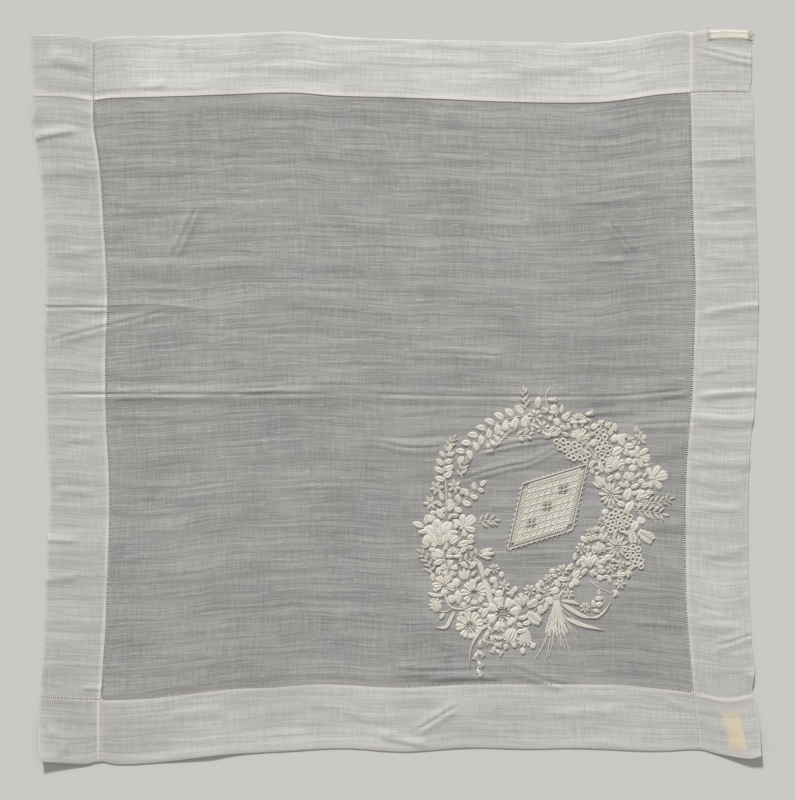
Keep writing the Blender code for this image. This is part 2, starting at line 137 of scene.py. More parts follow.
def wander(rows: tuple[SideRow, ...], along: np.ndarray) -> np.ndarray:
    """The offsets on a smooth curve through a side's rows.

    Args:
        rows: The rows to pass through.
        along: Places along the side.

    Returns:
        The offset at each place.
    """
    places = np.array([row.along for row in rows])
    outs = np.array([row.out for row in rows])
    wide_places, wide_outs = np.pad(places, 1, mode="edge"), np.pad(outs, 1, mode="edge")
    slopes = (wide_outs[2:] - wide_outs[:-2]) / (wide_places[2:] - wide_places[:-2])
    at = np.clip(along, places[0], places[-1])
    spot = np.clip(np.searchsorted(places, at), 1, len(places) - 1)
    run = places[spot] - places[spot - 1]
    t = (at - places[spot - 1]) / run
    return (
        (2 * t**3 - 3 * t**2 + 1) * outs[spot - 1]
        + (t**3 - 2 * t**2 + t) * slopes[spot - 1] * run
        + (3 * t**2 - 2 * t**3) * outs[spot]
        + (t**3 - t**2) * slopes[spot] * run
    )


@dataclass(frozen=True)
class Fold:
    """A raised fold from one point to another, with its bow and the shape of its crest."""

    x0: float
    y0: float
    x1: float
    y1: float
    height: float
    half_width: float
    bow: float
    crease: Crease = Crease.RIDGE

    def rise(self, x: np.ndarray, y: np.ndarray) -> np.ndarray:
        """The height that this fold adds at each point, fading out at both ends.

        Args:
            x: Places across the cloth, in millimetres.
            y: Places up the cloth, in millimetres.

        Returns:
            The added heights, in millimetres.
        """
        run_x, run_y = self.x1 - self.x0, self.y1 - self.y0
        length = math.hypot(run_x, run_y)
        along = ((x - self.x0) * run_x + (y - self.y0) * run_y) / length**2
        aside = ((y - self.y0) * run_x - (x - self.x0) * run_y) / length
        aside = aside - self.bow * 4.0 * along * (1.0 - along)
        share = np.clip(np.abs(aside) / self.half_width, 0.0, 1.0)
        broad = np.cos(0.5 * np.pi * share) ** 2
        if self.crease is Crease.GROOVE:
            broad = broad - GROOVE_DEPTH * np.exp(-((aside / GROOVE_HALF) ** 2))
        elif self.crease is Crease.PLEAT:
            broad = broad * (0.5 + 0.5 * np.tanh(aside / PLEAT_SOFT)) * PLEAT_GAIN
        elif self.crease is Crease.CREST:
            broad = CREST_BODY * broad + CREST_RISE * np.exp(-np.abs(aside) / CREST_HALF)
        fade = smooth(np.minimum(along, 1.0 - along) / FOLD_FADE)
        return self.height * broad * fade


@dataclass(frozen=True)
class Curl:
    """A corner or stretch of hem that stands up towards a point."""

    x: float
    y: float
    reach: float
    height: float

    def rise(self, x: np.ndarray, y: np.ndarray) -> np.ndarray:
        """The height that this curl adds at each point, in millimetres."""
        near = np.clip(1.0 - np.hypot(x - self.x, y - self.y) / self.reach, 0.0, 1.0)
        return self.height * near**2


# The width of the hem's edge that is turned in beside the hemstitch.
TURNED_IN = 2.7

# How often a point's place is worked out again with the offsets of where it came to lie.
WANDER_PASSES = 4

# The share of a fold's length over which it rises at either end.
FOLD_FADE = 0.2

# A groove's depth as a share of its fold's height, and half its width.
GROOVE_DEPTH = 0.88
GROOVE_HALF = 1.25

# Over what width a pleat steps up, and how much higher it stands than a ridge.
PLEAT_SOFT = 1.3
PLEAT_GAIN = 1.2

# The heights of a crest's broad body and of its thin top, and half the top's width.
CREST_BODY = 0.7
CREST_RISE = 0.5
CREST_HALF = 1.0

# The cloth's soft waves: their spacing across and up, which lattice they use, and their weight.
RIPPLES = ((70.0, 6.5, 11, 1.0), (34.0, 3.4, 12, 0.7), (9.0, 60.0, 13, 0.5))

LEFT = Side(-229.0, 39.4, 1, (
    SideRow(-236, 1.6), SideRow(-210, 2.9), SideRow(-195, 1.2), SideRow(-180, 0.9),
    SideRow(-161, -0.9), SideRow(-122, -2.0), SideRow(-88, -3.4), SideRow(-66, -4.7),
    SideRow(-26, -2.5), SideRow(3, -1.9), SideRow(27, -0.5), SideRow(57, -1.9),
    SideRow(84, -2.4), SideRow(108, -0.9), SideRow(147, 1.8), SideRow(166, 4.6),
    SideRow(178, 6.8), SideRow(196, 6.3), SideRow(235, 7.6),
), (
    SideRow(-236, 2.2), SideRow(-197, 2.0), SideRow(-184, 1.1), SideRow(-169, 0.2),
    SideRow(-153, -1.0), SideRow(-130, -1.8), SideRow(-98, -3.1), SideRow(-67, -3.7),
    SideRow(-44, -3.0), SideRow(-20, -1.7), SideRow(3, -1.1), SideRow(30, -1.2),
    SideRow(57, -2.4), SideRow(81, -1.8), SideRow(112, 0.2), SideRow(143, 2.1),
    SideRow(159, 4.1), SideRow(175, 6.5), SideRow(190, 6.8), SideRow(235, 6.2),
))
RIGHT = Side(233.0, 39.9, -1, (
    SideRow(-233, 3.6), SideRow(-212, 2.5), SideRow(-199, 0.0), SideRow(-190, -1.9),
    SideRow(-177, -0.3), SideRow(-159, -2.5), SideRow(-111, -4.4), SideRow(-53, -4.2),
    SideRow(-31, -3.1), SideRow(-12, -0.8), SideRow(2, 0.3), SideRow(64, 2.1),
    SideRow(103, 1.1), SideRow(153, -0.3), SideRow(192, -1.6), SideRow(199, -3.4),
    SideRow(208, -2.2), SideRow(237, -3.1),
), (
    SideRow(-230, 4.1), SideRow(-193, 0.3), SideRow(-169, -2.0), SideRow(-153, -3.3),
    SideRow(-130, -4.6), SideRow(-90, -5.2), SideRow(-52, -4.7), SideRow(-28, -3.3),
    SideRow(-13, -2.0), SideRow(3, -0.7), SideRow(42, 0.6), SideRow(73, 1.3),
    SideRow(112, 0.0), SideRow(160, -1.2), SideRow(190, -1.7), SideRow(200, -2.3),
    SideRow(235, -2.5),
))
BOTTOM = Side(-231.0, 41.0, 1, (
    SideRow(-231, 5.1), SideRow(-202, 7.3), SideRow(-192, 5.7), SideRow(-182, 7.5),
    SideRow(-163, 7.0), SideRow(-136, 4.2), SideRow(-114, 1.5), SideRow(-85, -0.2),
    SideRow(-35, -2.8), SideRow(6, -0.5), SideRow(45, -3.2), SideRow(87, -2.4),
    SideRow(120, -2.8), SideRow(168, -0.8), SideRow(197, -2.1), SideRow(209, 0.6),
    SideRow(229, 3.7), SideRow(237, 1.7),
), (
    SideRow(-230, 5.2), SideRow(-195, 6.9), SideRow(-174, 6.5), SideRow(-151, 5.0),
    SideRow(-127, 1.9), SideRow(-104, -0.4), SideRow(-81, -1.3), SideRow(-57, -3.3),
    SideRow(-34, -3.2), SideRow(-11, -1.6), SideRow(13, -1.4), SideRow(44, -3.2),
    SideRow(91, -3.4), SideRow(138, -3.2), SideRow(155, -2.4), SideRow(169, -0.7),
    SideRow(185, 1.0), SideRow(201, 3.6), SideRow(213, 6.0), SideRow(222, 5.4),
    SideRow(232, 3.4),
))
TOP = Side(231.0, 39.4, -1, (
    SideRow(-237, 3.6), SideRow(-219, 4.1), SideRow(-204, 2.9), SideRow(-196, 0.3),
    SideRow(-188, 2.3), SideRow(-125, 3.6), SideRow(-85, 5.4), SideRow(-63, 5.8),
    SideRow(-46, 3.6), SideRow(-19, 1.7), SideRow(47, 0.0), SideRow(87, -0.9),
    SideRow(115, -1.6), SideRow(137, -0.2), SideRow(153, 2.0), SideRow(170, 4.7),
    SideRow(186, 6.5), SideRow(191, 5.5), SideRow(203, 7.2), SideRow(229, 7.2),
), (
    SideRow(-237, 3.9), SideRow(-215, 3.3), SideRow(-205, 2.0), SideRow(-196, 0.9),
    SideRow(-186, 2.2), SideRow(-151, 3.2), SideRow(-112, 4.5), SideRow(-81, 5.7),
    SideRow(-63, 5.6), SideRow(-42, 3.9), SideRow(-10, 2.9), SideRow(29, 1.7),
    SideRow(52, 0.6), SideRow(91, -0.6), SideRow(122, -0.7), SideRow(138, 0.0),
    SideRow(153, 1.9), SideRow(169, 4.3), SideRow(185, 5.6), SideRow(197, 6.2),
    SideRow(215, 6.4), SideRow(232, 6.0),
))

# The folds that the solid has too, with the finer crests that they show close to.
MAIN_FOLDS = (
    Fold(-240, 1.5, -25, 1.5, 1.2, 7.5, 0.0, Crease.GROOVE),
    Fold(-40, 2.5, 150, 0.5, 1.0, 7.5, -1.5, Crease.GROOVE),
    Fold(120, -0.5, 194, 5.0, 1.0, 7.0, -1.0, Crease.GROOVE),
    Fold(242, 5.2, 192, 1.6, 1.2, 7.5, -0.5, Crease.PLEAT),
    Fold(-240, 58.0, -182, 58.0, 1.2, 7.0, 0.0, Crease.GROOVE),
    Fold(-200, 57.5, -126, 57.0, 1.1, 7.0, 2.8, Crease.CREST),
    Fold(-230, 35.0, -144, 57.0, 1.0, 7.0, 0.0, Crease.GROOVE),
    Fold(-240, 164.0, -205, 171.5, 1.3, 7.0, 1.5, Crease.PLEAT),
    Fold(-234, 146.0, -188, 146.5, 0.9, 7.0, 0.5),
    Fold(-232, -94.0, -206, -95.0, 0.9, 7.0, 0.0, Crease.PLEAT),
    Fold(-206, -115.5, -234, -118.0, 1.0, 7.0, 0.0, Crease.PLEAT),
    Fold(-221, -212.0, -214, -234.0, 1.4, 7.0, 0.0, Crease.GROOVE),
    Fold(-226, 222.0, -200, 213.0, 1.3, 8.0, 1.0),
    Fold(-145, 90.0, -128, 126.0, 1.5, 7.0, 0.0, Crease.GROOVE),
    Fold(-188, 83.5, -92, 88.5, 0.9, 7.0, -1.5),
    Fold(1, 28.5, 74, 25.5, 0.9, 7.0, 1.0, Crease.GROOVE),
    Fold(-12, -29.0, 34, -31.0, 1.1, 7.0, -3.5, Crease.GROOVE),
    Fold(86, 128.0, 168, 127.0, 0.7, 7.0, 1.0),
    Fold(136, 117.0, 155, 92.0, 1.4, 7.0, 0.0, Crease.GROOVE),
    Fold(150, -19.0, 195, -17.0, 1.2, 7.0, 0.5, Crease.GROOVE),
    Fold(164, -38.5, 190, -33.0, 0.8, 7.0, 0.0),
    Fold(158, -85.5, 192, -84.0, 0.9, 7.0, 1.5),
    Fold(20, -141.0, 32, -176.0, 1.4, 7.0, 1.5, Crease.PLEAT),
    Fold(-4, -177.0, 52, -177.5, 1.1, 7.0, -1.0, Crease.GROOVE),
    Fold(18, -186.0, 72, -184.5, 1.2, 7.0, 1.5, Crease.PLEAT),
    Fold(74, -174.0, 112, -188.0, 1.2, 7.0, -1.5, Crease.GROOVE),
    Fold(228, 157.5, 190, 153.5, 0.8, 7.0, 0.5, Crease.PLEAT),
    Fold(242, 61.5, 196, 55.0, 1.0, 7.0, -0.8, Crease.PLEAT),
    Fold(190, -13.5, 242, -13.0, 1.3, 7.0, -2.5),
    Fold(188, -42.0, 240, -43.5, 1.0, 7.0, 0.0),
    Fold(204, -163.5, 236, -153.5, 1.0, 7.0, 0.0, Crease.GROOVE),
    Fold(10, -219.0, 42, -199.5, 1.1, 7.0, 0.0, Crease.GROOVE),
    Fold(-14, -220.5, 22, -228.5, 1.0, 7.0, 0.0, Crease.PLEAT),
    Fold(192, 227.5, 240, 216.5, 1.2, 5.5, -0.5, Crease.GROOVE),
    Fold(226, -176.0, 236, -209.0, 2.0, 8.0, 2.0, Crease.PLEAT),
)

# Small creases and puckers that only show close to.
FINE_FOLDS = (
    Fold(-105, 3.0, -15, 6.5, 0.7, 4.5, 3.0, Crease.GROOVE),
    Fold(-232, 36.6, -222, 34.8, 0.8, 2.5, 0.0, Crease.GROOVE),
    Fold(-231, 145.0, -225, 141.0, 0.9, 2.5, 0.0, Crease.GROOVE),
    Fold(-205.6, 199.6, -196.9, 205.0, 0.7, 3.0, 0.0, Crease.GROOVE),
    Fold(-166, 201.0, -148, 204.0, 0.5, 4.0, 0.0),
    Fold(24, -159.0, 56, -166.0, 0.9, 4.0, -1.0, Crease.GROOVE),
    Fold(55, -172.7, 67, -182.7, 0.8, 3.5, 0.0, Crease.PLEAT),
    Fold(194, 14.0, 216, 18.7, 0.5, 3.0, 0.0),
    Fold(208, -4.2, 221, -6.0, 0.5, 3.0, 0.0, Crease.GROOVE),
    Fold(176, -197.0, 186, -202.0, 0.8, 3.5, 0.0),
    Fold(138.5, 177.8, 145.6, 168.3, 1.0, 3.5, 0.0, Crease.GROOVE),
    Fold(167, 88.0, 176, 83.0, 0.7, 2.5, 0.0, Crease.GROOVE),
    Fold(126, 88.5, 150, 88.0, 0.7, 3.0, 0.0),
    Fold(178, 182.5, 186, 177.8, 0.7, 3.0, 0.0, Crease.GROOVE),
    Fold(190, -148.0, 234, -150.0, 0.6, 4.0, 0.0),
    Fold(-38, 161.0, -4, 160.0, 0.5, 3.0, 0.5),
    Fold(-13, 44.0, 4, 43.0, 0.5, 3.0, 0.0, Crease.GROOVE),
    Fold(12, 43.0, 38, 39.0, 0.6, 3.5, 0.5, Crease.GROOVE),
    Fold(30, 190.5, 42, 177.5, 0.6, 3.5, 0.0, Crease.PLEAT),
    Fold(-9, 196.5, 12, 195.0, 0.7, 3.0, 1.0, Crease.GROOVE),
    Fold(149, 45.0, 168, 42.0, 0.6, 3.0, 0.0, Crease.GROOVE),
    Fold(-187, -175.0, -172, -180.0, 0.7, 3.5, 0.0, Crease.GROOVE),
    Fold(-230, -210.0, -215, -232.0, 0.8, 4.5, 1.0, Crease.PLEAT),
    Fold(42, -54.5, 86, -43.0, 1.6, 5.0, 1.2, Crease.GROOVE),
    Fold(50, -36.5, 108, -26.5, 1.6, 5.0, 1.2, Crease.GROOVE),
    Fold(78, -45.5, 106, -32.0, 1.3, 4.5, -1.2, Crease.GROOVE),
    Fold(58, -71.5, 80, -71.0, 0.6, 3.5, 0.5),
    Fold(60, -103.0, 84, -104.5, 0.8, 4.0, -0.5, Crease.GROOVE),
    Fold(110, -91.0, 128, -97.0, 0.7, 3.5, 0.0, Crease.GROOVE),
    Fold(152, -148.0, 192, -150.0, 0.7, 4.0, 0.5, Crease.PLEAT),
    Fold(170, -1.0, 192, 3.0, 0.6, 3.5, 0.0),
    Fold(120, -12.0, 158, -8.0, 0.7, 4.0, 0.5),
    Fold(150, 8.0, 194, 12.0, 0.5, 4.0, -0.5),
    Fold(-186, -0.5, -150, 1.0, 0.6, 3.5, 0.0),
    Fold(-186, -13.0, -120, -15.0, 0.4, 4.0, 1.0),
    Fold(-187, 128.0, -168, 124.0, 0.5, 3.5, 0.0),
    Fold(-187, -107.0, -160, -104.0, 0.4, 3.5, 0.0),
    Fold(-205, -189.0, -190, -189.5, 0.8, 3.0, 0.0),
    Fold(-150, -207.0, -110, -204.0, 0.5, 5.0, 0.0),
    Fold(-60, -200.0, -20, -206.0, 0.5, 5.0, 1.0),
    Fold(96, -206.0, 150, -202.0, 0.5, 5.0, -1.0),
    Fold(-90, 214.0, -30, 211.0, 0.5, 6.0, 1.0),
    Fold(70, 212.0, 130, 216.0, 0.5, 6.0, -1.0),
    Fold(200, 120.0, 232, 124.0, 0.6, 4.0, 0.0),
    Fold(198, 92.0, 230, 88.0, 0.5, 4.5, 0.0),
    Fold(196, -72.0, 226, -74.0, 0.5, 4.0, 0.0),
    Fold(196, -104.0, 228, -100.0, 0.5, 4.5, 0.0),
    Fold(-226, 92.0, -190, 96.0, 0.5, 4.5, 0.0),
    Fold(-224, -30.0, -192, -26.0, 0.5, 4.5, 0.0),
    Fold(-222, -60.0, -196, -63.0, 0.5, 4.0, 0.0),
)

CURLS = (
    Curl(-234, -239, 52.0, 6.5),
    Curl(240, -236, 48.0, 6.0),
    Curl(-240, 238, 34.0, 2.4),
    Curl(-238, 182, 26.0, 2.0),
    Curl(-120, -236, 44.0, 1.6),
)


def smooth(value: np.ndarray) -> np.ndarray:
    """An even S-shaped step from 0 to 1."""
    held = np.clip(value, 0.0, 1.0)
    return held * held * (3.0 - 2.0 * held)


def soft_noise(x: np.ndarray, y: np.ndarray, cell_x: float, cell_y: float, seed: int) -> np.ndarray:
    """Smooth wandering values on a lattice of unlike cell sizes.

    Args:
        x: Places across, in millimetres.
        y: Places up, in millimetres.
        cell_x: The lattice's spacing across.
        cell_y: The lattice's spacing up.
        seed: Which lattice to use.

    Returns:
        Values from about -1 to 1.
    """
    lattice = np.random.default_rng(seed).uniform(-1.0, 1.0, (NOISE_CELLS, NOISE_CELLS))
    u, v = x / cell_x + NOISE_CELLS / 2, y / cell_y + NOISE_CELLS / 2
    i, j = np.floor(u).astype(int), np.floor(v).astype(int)
    s, t = smooth(u - i), smooth(v - j)
    i0, i1 = i % NOISE_CELLS, (i + 1) % NOISE_CELLS
    j0, j1 = j % NOISE_CELLS, (j + 1) % NOISE_CELLS
    low = lattice[i0, j0] * (1 - s) + lattice[i1, j0] * s
    high = lattice[i0, j1] * (1 - s) + lattice[i1, j1] * s
    return low * (1 - t) + high * t


@dataclass
class Ground:
    """The cloth as it lies: how its straight square wanders, and how high it stands."""

    left: Side = LEFT
    right: Side = RIGHT
    bottom: Side = BOTTOM
    top: Side = TOP
    folds: tuple[Fold, ...] = MAIN_FOLDS + FINE_FOLDS
    curls: tuple[Curl, ...] = CURLS
    ripple: float = 0.16

    def laid(self, a: np.ndarray, b: np.ndarray) -> tuple[np.ndarray, np.ndarray]:
        """Where points of the straight square come to lie once its sides wander.

        Args:
            a: Places across the straight square.
            b: Places up the straight square.

        Returns:
            The places across and up the cloth as it lies.
        """
        across = smooth((a - self.left.seam) / (self.right.seam - self.left.seam))
        up = smooth((b - self.bottom.seam) / (self.top.seam - self.bottom.seam))
        x, y = a, b
        for _ in range(WANDER_PASSES):
            x, y = (
                a - self.left.out(y, a) * (1 - across) + self.right.out(y, a) * across,
                b - self.bottom.out(x, b) * (1 - up) + self.top.out(x, b) * up,
            )
        return x, y

    def depth(self, a: np.ndarray, b: np.ndarray) -> np.ndarray:
        """How far each point lies outside the hemstitch lines; below 0 inside them."""
        return np.maximum.reduce([
            self.left.seam - a, a - self.right.seam, self.bottom.seam - b, b - self.top.seam
        ])

    def turned(self, a: np.ndarray, b: np.ndarray) -> np.ndarray:
        """Where the turned-in edges thicken the hems, from 0 to 1.

        Args:
            a: Places across the straight square.
            b: Places up the straight square.

        Returns:
            1 on each hem's own turned-in edge, which runs on across one corner.
        """
        total = np.zeros_like(a)
        for out, held in (
            (b - self.top.seam, a < self.right.seam),
            (a - self.right.seam, b > self.bottom.seam),
            (self.bottom.seam - b, a > self.left.seam),
            (self.left.seam - a, b < self.top.seam),
        ):
            total = np.maximum(total, held * (out > -0.1) * smooth((TURNED_IN + 0.6 - out) / 0.6))
        return total

    def height(self, x: np.ndarray, y: np.ndarray) -> np.ndarray:
        """How high the single cloth stands over the surface at each point, in millimetres."""
        rise = np.zeros_like(x)
        for shape in (*self.folds, *self.curls):
            rise = rise + shape.rise(x, y)
        waves = sum(weight * soft_noise(x, y, *cells_and_seed) for *cells_and_seed, weight in RIPPLES)
        return SINGLE_LAYER + rise + self.ripple * waves


class MeshDraft:
    """Points, faces and thread places gathered for one mesh object."""

    def __init__(self) -> None:
        """Start with nothing gathered."""
        self.points: list[np.ndarray] = []
        self.threads: list[np.ndarray] = []
        self.faces: list[tuple[int, ...]] = []
        self.count = 0

    def add(self, points: np.ndarray, threads: np.ndarray, faces: Iterable[tuple[int, ...]]) -> None:
        """Gather one more shape.

        Args:
            points: Its points, as rows of x, y and z.
            threads: A place for each point, as rows of two values for the finish.
            faces: Its faces, as indices into points.
        """
        start = self.count
        self.points.append(np.asarray(points, dtype=float))
        self.threads.append(np.asarray(threads, dtype=float))
        self.faces.extend(tuple(start + i for i in face) for face in faces)
        self.count += len(points)

    def to_object(self, name: str, material: bpy.types.Material, sharp: float = 60.0) -> bpy.types.Object:
        """Make the gathered shapes one object of the scene.

        Args:
            name: The object's name.
            material: Its finish.
            sharp: The angle in degrees over which an edge stays crisp.

        Returns:
            The new object, in metres.
        """
        points = np.concatenate(self.points) * MM
        threads = np.concatenate(self.threads)
        mesh = bpy.data.meshes.new(name)
        mesh.from_pydata(points.tolist(), [], self.faces)
        corners = np.empty(len(mesh.loops), dtype=np.int32)
        mesh.loops.foreach_get("vertex_index", corners)
        layer = mesh.uv_layers.new(name=THREAD_MAP)
        layer.uv.foreach_set("vector", threads[corners].astype(np.float32).ravel())
        mesh.materials.append(material)
        mesh.shade_smooth()
        mesh.set_sharp_from_angle(angle=math.radians(sharp))
        made = bpy.data.objects.new(name, mesh)
        bpy.context.scene.collection.objects.link(made)
        return made


class Nodes:
    """Adds and links the nodes of one node tree."""

    def __init__(self, tree: bpy.types.NodeTree) -> None:
        """Work on the given tree."""
        self.tree = tree

    def add(self, kind: str, inputs: Optional[dict] = None, **settings: object) -> bpy.types.Node:
        """Add one node.

        Args:
            kind: The node's type, without its ShaderNode prefix unless it has another.
            inputs: Values or sockets for its inputs, by name or number.
            settings: Properties of the node itself.

        Returns:
            The new node.
        """
        node = self.tree.nodes.new(kind if kind.startswith("NodeGroup") else "ShaderNode" + kind)
        for key, value in settings.items():
            setattr(node, key, value)
        for key, value in (inputs or {}).items():
            self.feed(node.inputs[key], value)
        return node

    def feed(self, socket: bpy.types.NodeSocket, value: object) -> None:
        """Link a socket to an input, or set the input's own value."""
        if isinstance(value, bpy.types.NodeSocket):
            self.tree.links.new(value, socket)
        else:
            socket.default_value = value

    def calc(self, operation: str, *values: object, clamp: bool = False) -> bpy.types.NodeSocket:
        """The result of one math node on up to three values."""
        node = self.add("Math", operation=operation, use_clamp=clamp)
        for socket, value in zip(node.inputs, values):
            self.feed(socket, value)
        return node.outputs[0]

    def ramp(self, value: object, low: float, high: float,
             start: float = 0.0, end: float = 1.0) -> bpy.types.NodeSocket:
        """A value carried smoothly from one range to another and held at its ends."""
        node = self.add(
            "MapRange",
            {"Value": value, "From Min": low, "From Max": high, "To Min": start, "To Max": end},
            interpolation_type="SMOOTHSTEP",
        )
        return node.outputs[0]

    def blend(self, share: object, first: object, second: object) -> bpy.types.NodeSocket:
        """A colour between two others."""
        node = self.add("Mix", data_type="RGBA")
        self.feed(node.inputs[0], share)
        self.feed(node.inputs[6], first)
        self.feed(node.inputs[7], second)
        return node.outputs[2]

    def noise(self, place: object, scale: tuple[float, float, float],
              detail: float = 2.0, rough: float = 0.5) -> bpy.types.NodeSocket:
        """Noise over a place that is first stretched by a scale on each axis."""
        stretched = self.add("VectorMath", {0: place, 1: scale}, operation="MULTIPLY")
        node = self.add(
            "TexNoise",
            {"Vector": stretched.outputs[0], "Scale": 1.0, "Detail": detail, "Roughness": rough},
        )
        return node.outputs["Fac"]

    def group(self, tree: bpy.types.NodeTree, inputs: dict) -> bpy.types.Node:
        """Place a shared group with its own values."""
        node = self.tree.nodes.new("ShaderNodeGroup")
        node.node_tree = tree
        for key, value in inputs.items():
            self.feed(node.inputs[key], value)
        return node


def new_group(
    name: str, inputs: Sequence[tuple[str, str, object]], outputs: Sequence[tuple[str, str]]
) -> tuple[bpy.types.NodeTree, Nodes, bpy.types.Node, bpy.types.Node]:
    """Start a shared shader group.

    Args:
        name: The group's name.
        inputs: Name, socket type and default of each input.
        outputs: Name and socket type of each output.

    Returns:
        The group's tree, its node maker, and its input and output nodes.
    """
    tree = bpy.data.node_groups.new(name, "ShaderNodeTree")
    for label, kind, default in inputs:
        socket = tree.interface.new_socket(name=label, in_out="INPUT", socket_type=kind)
        if default is not None:
            socket.default_value = default
    for label, kind in outputs:
        tree.interface.new_socket(name=label, in_out="OUTPUT", socket_type=kind)
    nodes = Nodes(tree)
    return tree, nodes, nodes.add("NodeGroupInput"), nodes.add("NodeGroupOutput")


# The noises of an uneven weave: the scale each way for each millimetre, and the weight.
WEAVE_NOISES = (
    ((0.035, 1.35, 1.3), 1.0), ((0.011, 0.46, 1.0), 0.8), ((0.006, 0.11, 4.2), 0.5),
    ((1.3, 0.07, 1.7), 0.62), ((0.5, 0.016, 2.6), 0.2), ((1.1, 1.1, 3.1), 0.5),
    ((0.018, 0.03, 2.1), 0.5),
)
WEAVE_LOW = 1.6
WEAVE_HIGH = 2.52


def weave_group() -> bpy.types.NodeTree:
    """The uneven plain weave that the linen and the tape share.

    Returns:
        A group that gives the thread relief, the long streaks and the small slubs at a place in
        millimetres of cloth.
    """
    tree, nodes, given, out = new_group(
        "uneven_plain_weave",
        [
            ("Place", "NodeSocketVector", None),
            ("Pitch", "NodeSocketFloat", 0.4),
            ("Seed", "NodeSocketFloat", 0.0),
        ],
        [("Relief", "NodeSocketFloat"), ("Streaks", "NodeSocketFloat"), ("Slubs", "NodeSocketFloat")],
    )
    shift = nodes.add("CombineXYZ", {"Z": given.outputs["Seed"]})
    place = nodes.add("VectorMath", {0: given.outputs["Place"], 1: shift.outputs[0]}, operation="ADD")
    wander = nodes.calc("MULTIPLY_ADD", nodes.noise(place.outputs[0], (0.018, 0.03, 1.0)), 7.0, -3.5)
    apart = nodes.add("SeparateXYZ", {0: place.outputs[0]})
    drift = nodes.calc("ADD", apart.outputs["Y"], wander)
    woven = nodes.add("CombineXYZ", {"X": apart.outputs["X"], "Y": drift, "Z": apart.outputs["Z"]})
    spot = woven.outputs[0]
    total = 0.0
    for scale, weight in WEAVE_NOISES:
        total = nodes.calc("MULTIPLY_ADD", nodes.noise(spot, scale, 2.0, 0.6), weight, total)
    streaks = nodes.ramp(total, WEAVE_LOW, WEAVE_HIGH)
    short_weft = nodes.noise(spot, WEAVE_NOISES[0][0], 2.0, 0.6)
    turn = nodes.calc("DIVIDE", FULL_TURN, given.outputs["Pitch"])
    weft = nodes.calc("SINE", nodes.calc("MULTIPLY", drift, turn))
    ends = nodes.calc("SINE", nodes.calc("MULTIPLY", apart.outputs["X"], turn))
    relief = nodes.calc("MULTIPLY_ADD", nodes.calc("MULTIPLY", weft, ends), 0.3, 0.5)
    relief = nodes.calc("MULTIPLY_ADD", short_weft, 0.8, relief)
    slubs = nodes.ramp(nodes.noise(spot, (0.11, 1.5, 3.0), 1.0, 0.4), 0.66, 0.76)
    nodes.feed(out.inputs["Relief"], relief)
    nodes.feed(out.inputs["Streaks"], streaks)
    nodes.feed(out.inputs["Slubs"], slubs)
    return tree


def ageing_group() -> bpy.types.NodeTree:
    """The faint yellowing and dust that every old thread and cloth here shares.

    Returns:
        A group that tints a colour unevenly over the object's own place.
    """
    tree, nodes, given, out = new_group(
        "uneven_ageing",
        [
            ("Colour", "NodeSocketColor", (0.6, 0.6, 0.6, 1.0)),
            ("Tint", "NodeSocketColor", (0.6, 0.55, 0.45, 1.0)),
            ("Scale", "NodeSocketFloat", 60.0),
            ("Amount", "NodeSocketFloat", 0.2),
        ],
        [("Colour", "NodeSocketColor")],
    )
    spot = nodes.add("TexCoord").outputs["Object"]
    node = nodes.add("TexNoise", {"Vector": spot, "Scale": given.outputs["Scale"], "Detail": 3.0})
    share = nodes.calc("MULTIPLY", nodes.ramp(node.outputs["Fac"], 0.35, 0.7), given.outputs["Amount"])
    nodes.feed(out.inputs["Colour"], nodes.blend(share, given.outputs["Colour"], given.outputs["Tint"]))
    return tree


def thread_group() -> bpy.types.NodeTree:
    """Fine satin threads that lie side by side, for the embroidery and the hem's bars.

    Returns:
        A group that gives the threads' relief, and lines of painted light on their crests and painted shade
        between them, with uneven tone.
    """
    tree, nodes, given, out = new_group(
        "satin_threads",
        [("Place", "NodeSocketVector", None), ("Pitch", "NodeSocketFloat", 0.45)],
        [("Relief", "NodeSocketFloat"), ("LinesAndShading", "NodeSocketFloat")],
    )
    apart = nodes.add("SeparateXYZ", {0: given.outputs["Place"]})
    stray = nodes.noise(given.outputs["Place"], (0.6, 2.2, 1.0), 2.0)
    along = nodes.calc("MULTIPLY_ADD", stray, 0.35, apart.outputs["X"])
    turn = nodes.calc("DIVIDE", FULL_TURN, given.outputs["Pitch"])
    wave = nodes.calc("SINE", nodes.calc("MULTIPLY", along, turn))
    relief = nodes.calc("MULTIPLY_ADD", wave, 0.5, 0.5)
    # Painted light and shade that follow the thread relief, with uneven tone.
    lines = nodes.calc("MULTIPLY_ADD", wave, 0.3, nodes.calc("MULTIPLY_ADD", stray, 0.8, 0.1), clamp=True)
    nodes.feed(out.inputs["Relief"], relief)
    nodes.feed(out.inputs["LinesAndShading"], lines)
    return tree


@dataclass(frozen=True)
class Seam:
    """One straight run of drawn-thread hemstitch on the straight square."""

    across: bool
    place: float
    start: float
    end: float

    def covers(self, a: np.ndarray, b: np.ndarray, half: float) -> np.ndarray:
        """True where a point lies in the run's gap."""
        aside, along = (b, a) if self.across else (a, b)
        return (np.abs(aside - self.place) < half) & (along > self.start) & (along < self.end)


def corner_seams() -> list[Seam]:
    """The hemstitch runs that go on across the corners to the outer edge."""
    return [
        Seam(False, LEFT.seam, TOP.seam, TOP.line - 1.0),
        Seam(True, TOP.seam, RIGHT.seam, RIGHT.line - 1.0),
        Seam(True, BOTTOM.seam, LEFT.line + 1.0, LEFT.seam),
        Seam(False, LEFT.seam, BOTTOM.line + 1.0, BOTTOM.seam),
        Seam(False, RIGHT.seam, BOTTOM.line + 1.0, BOTTOM.seam),
    ]


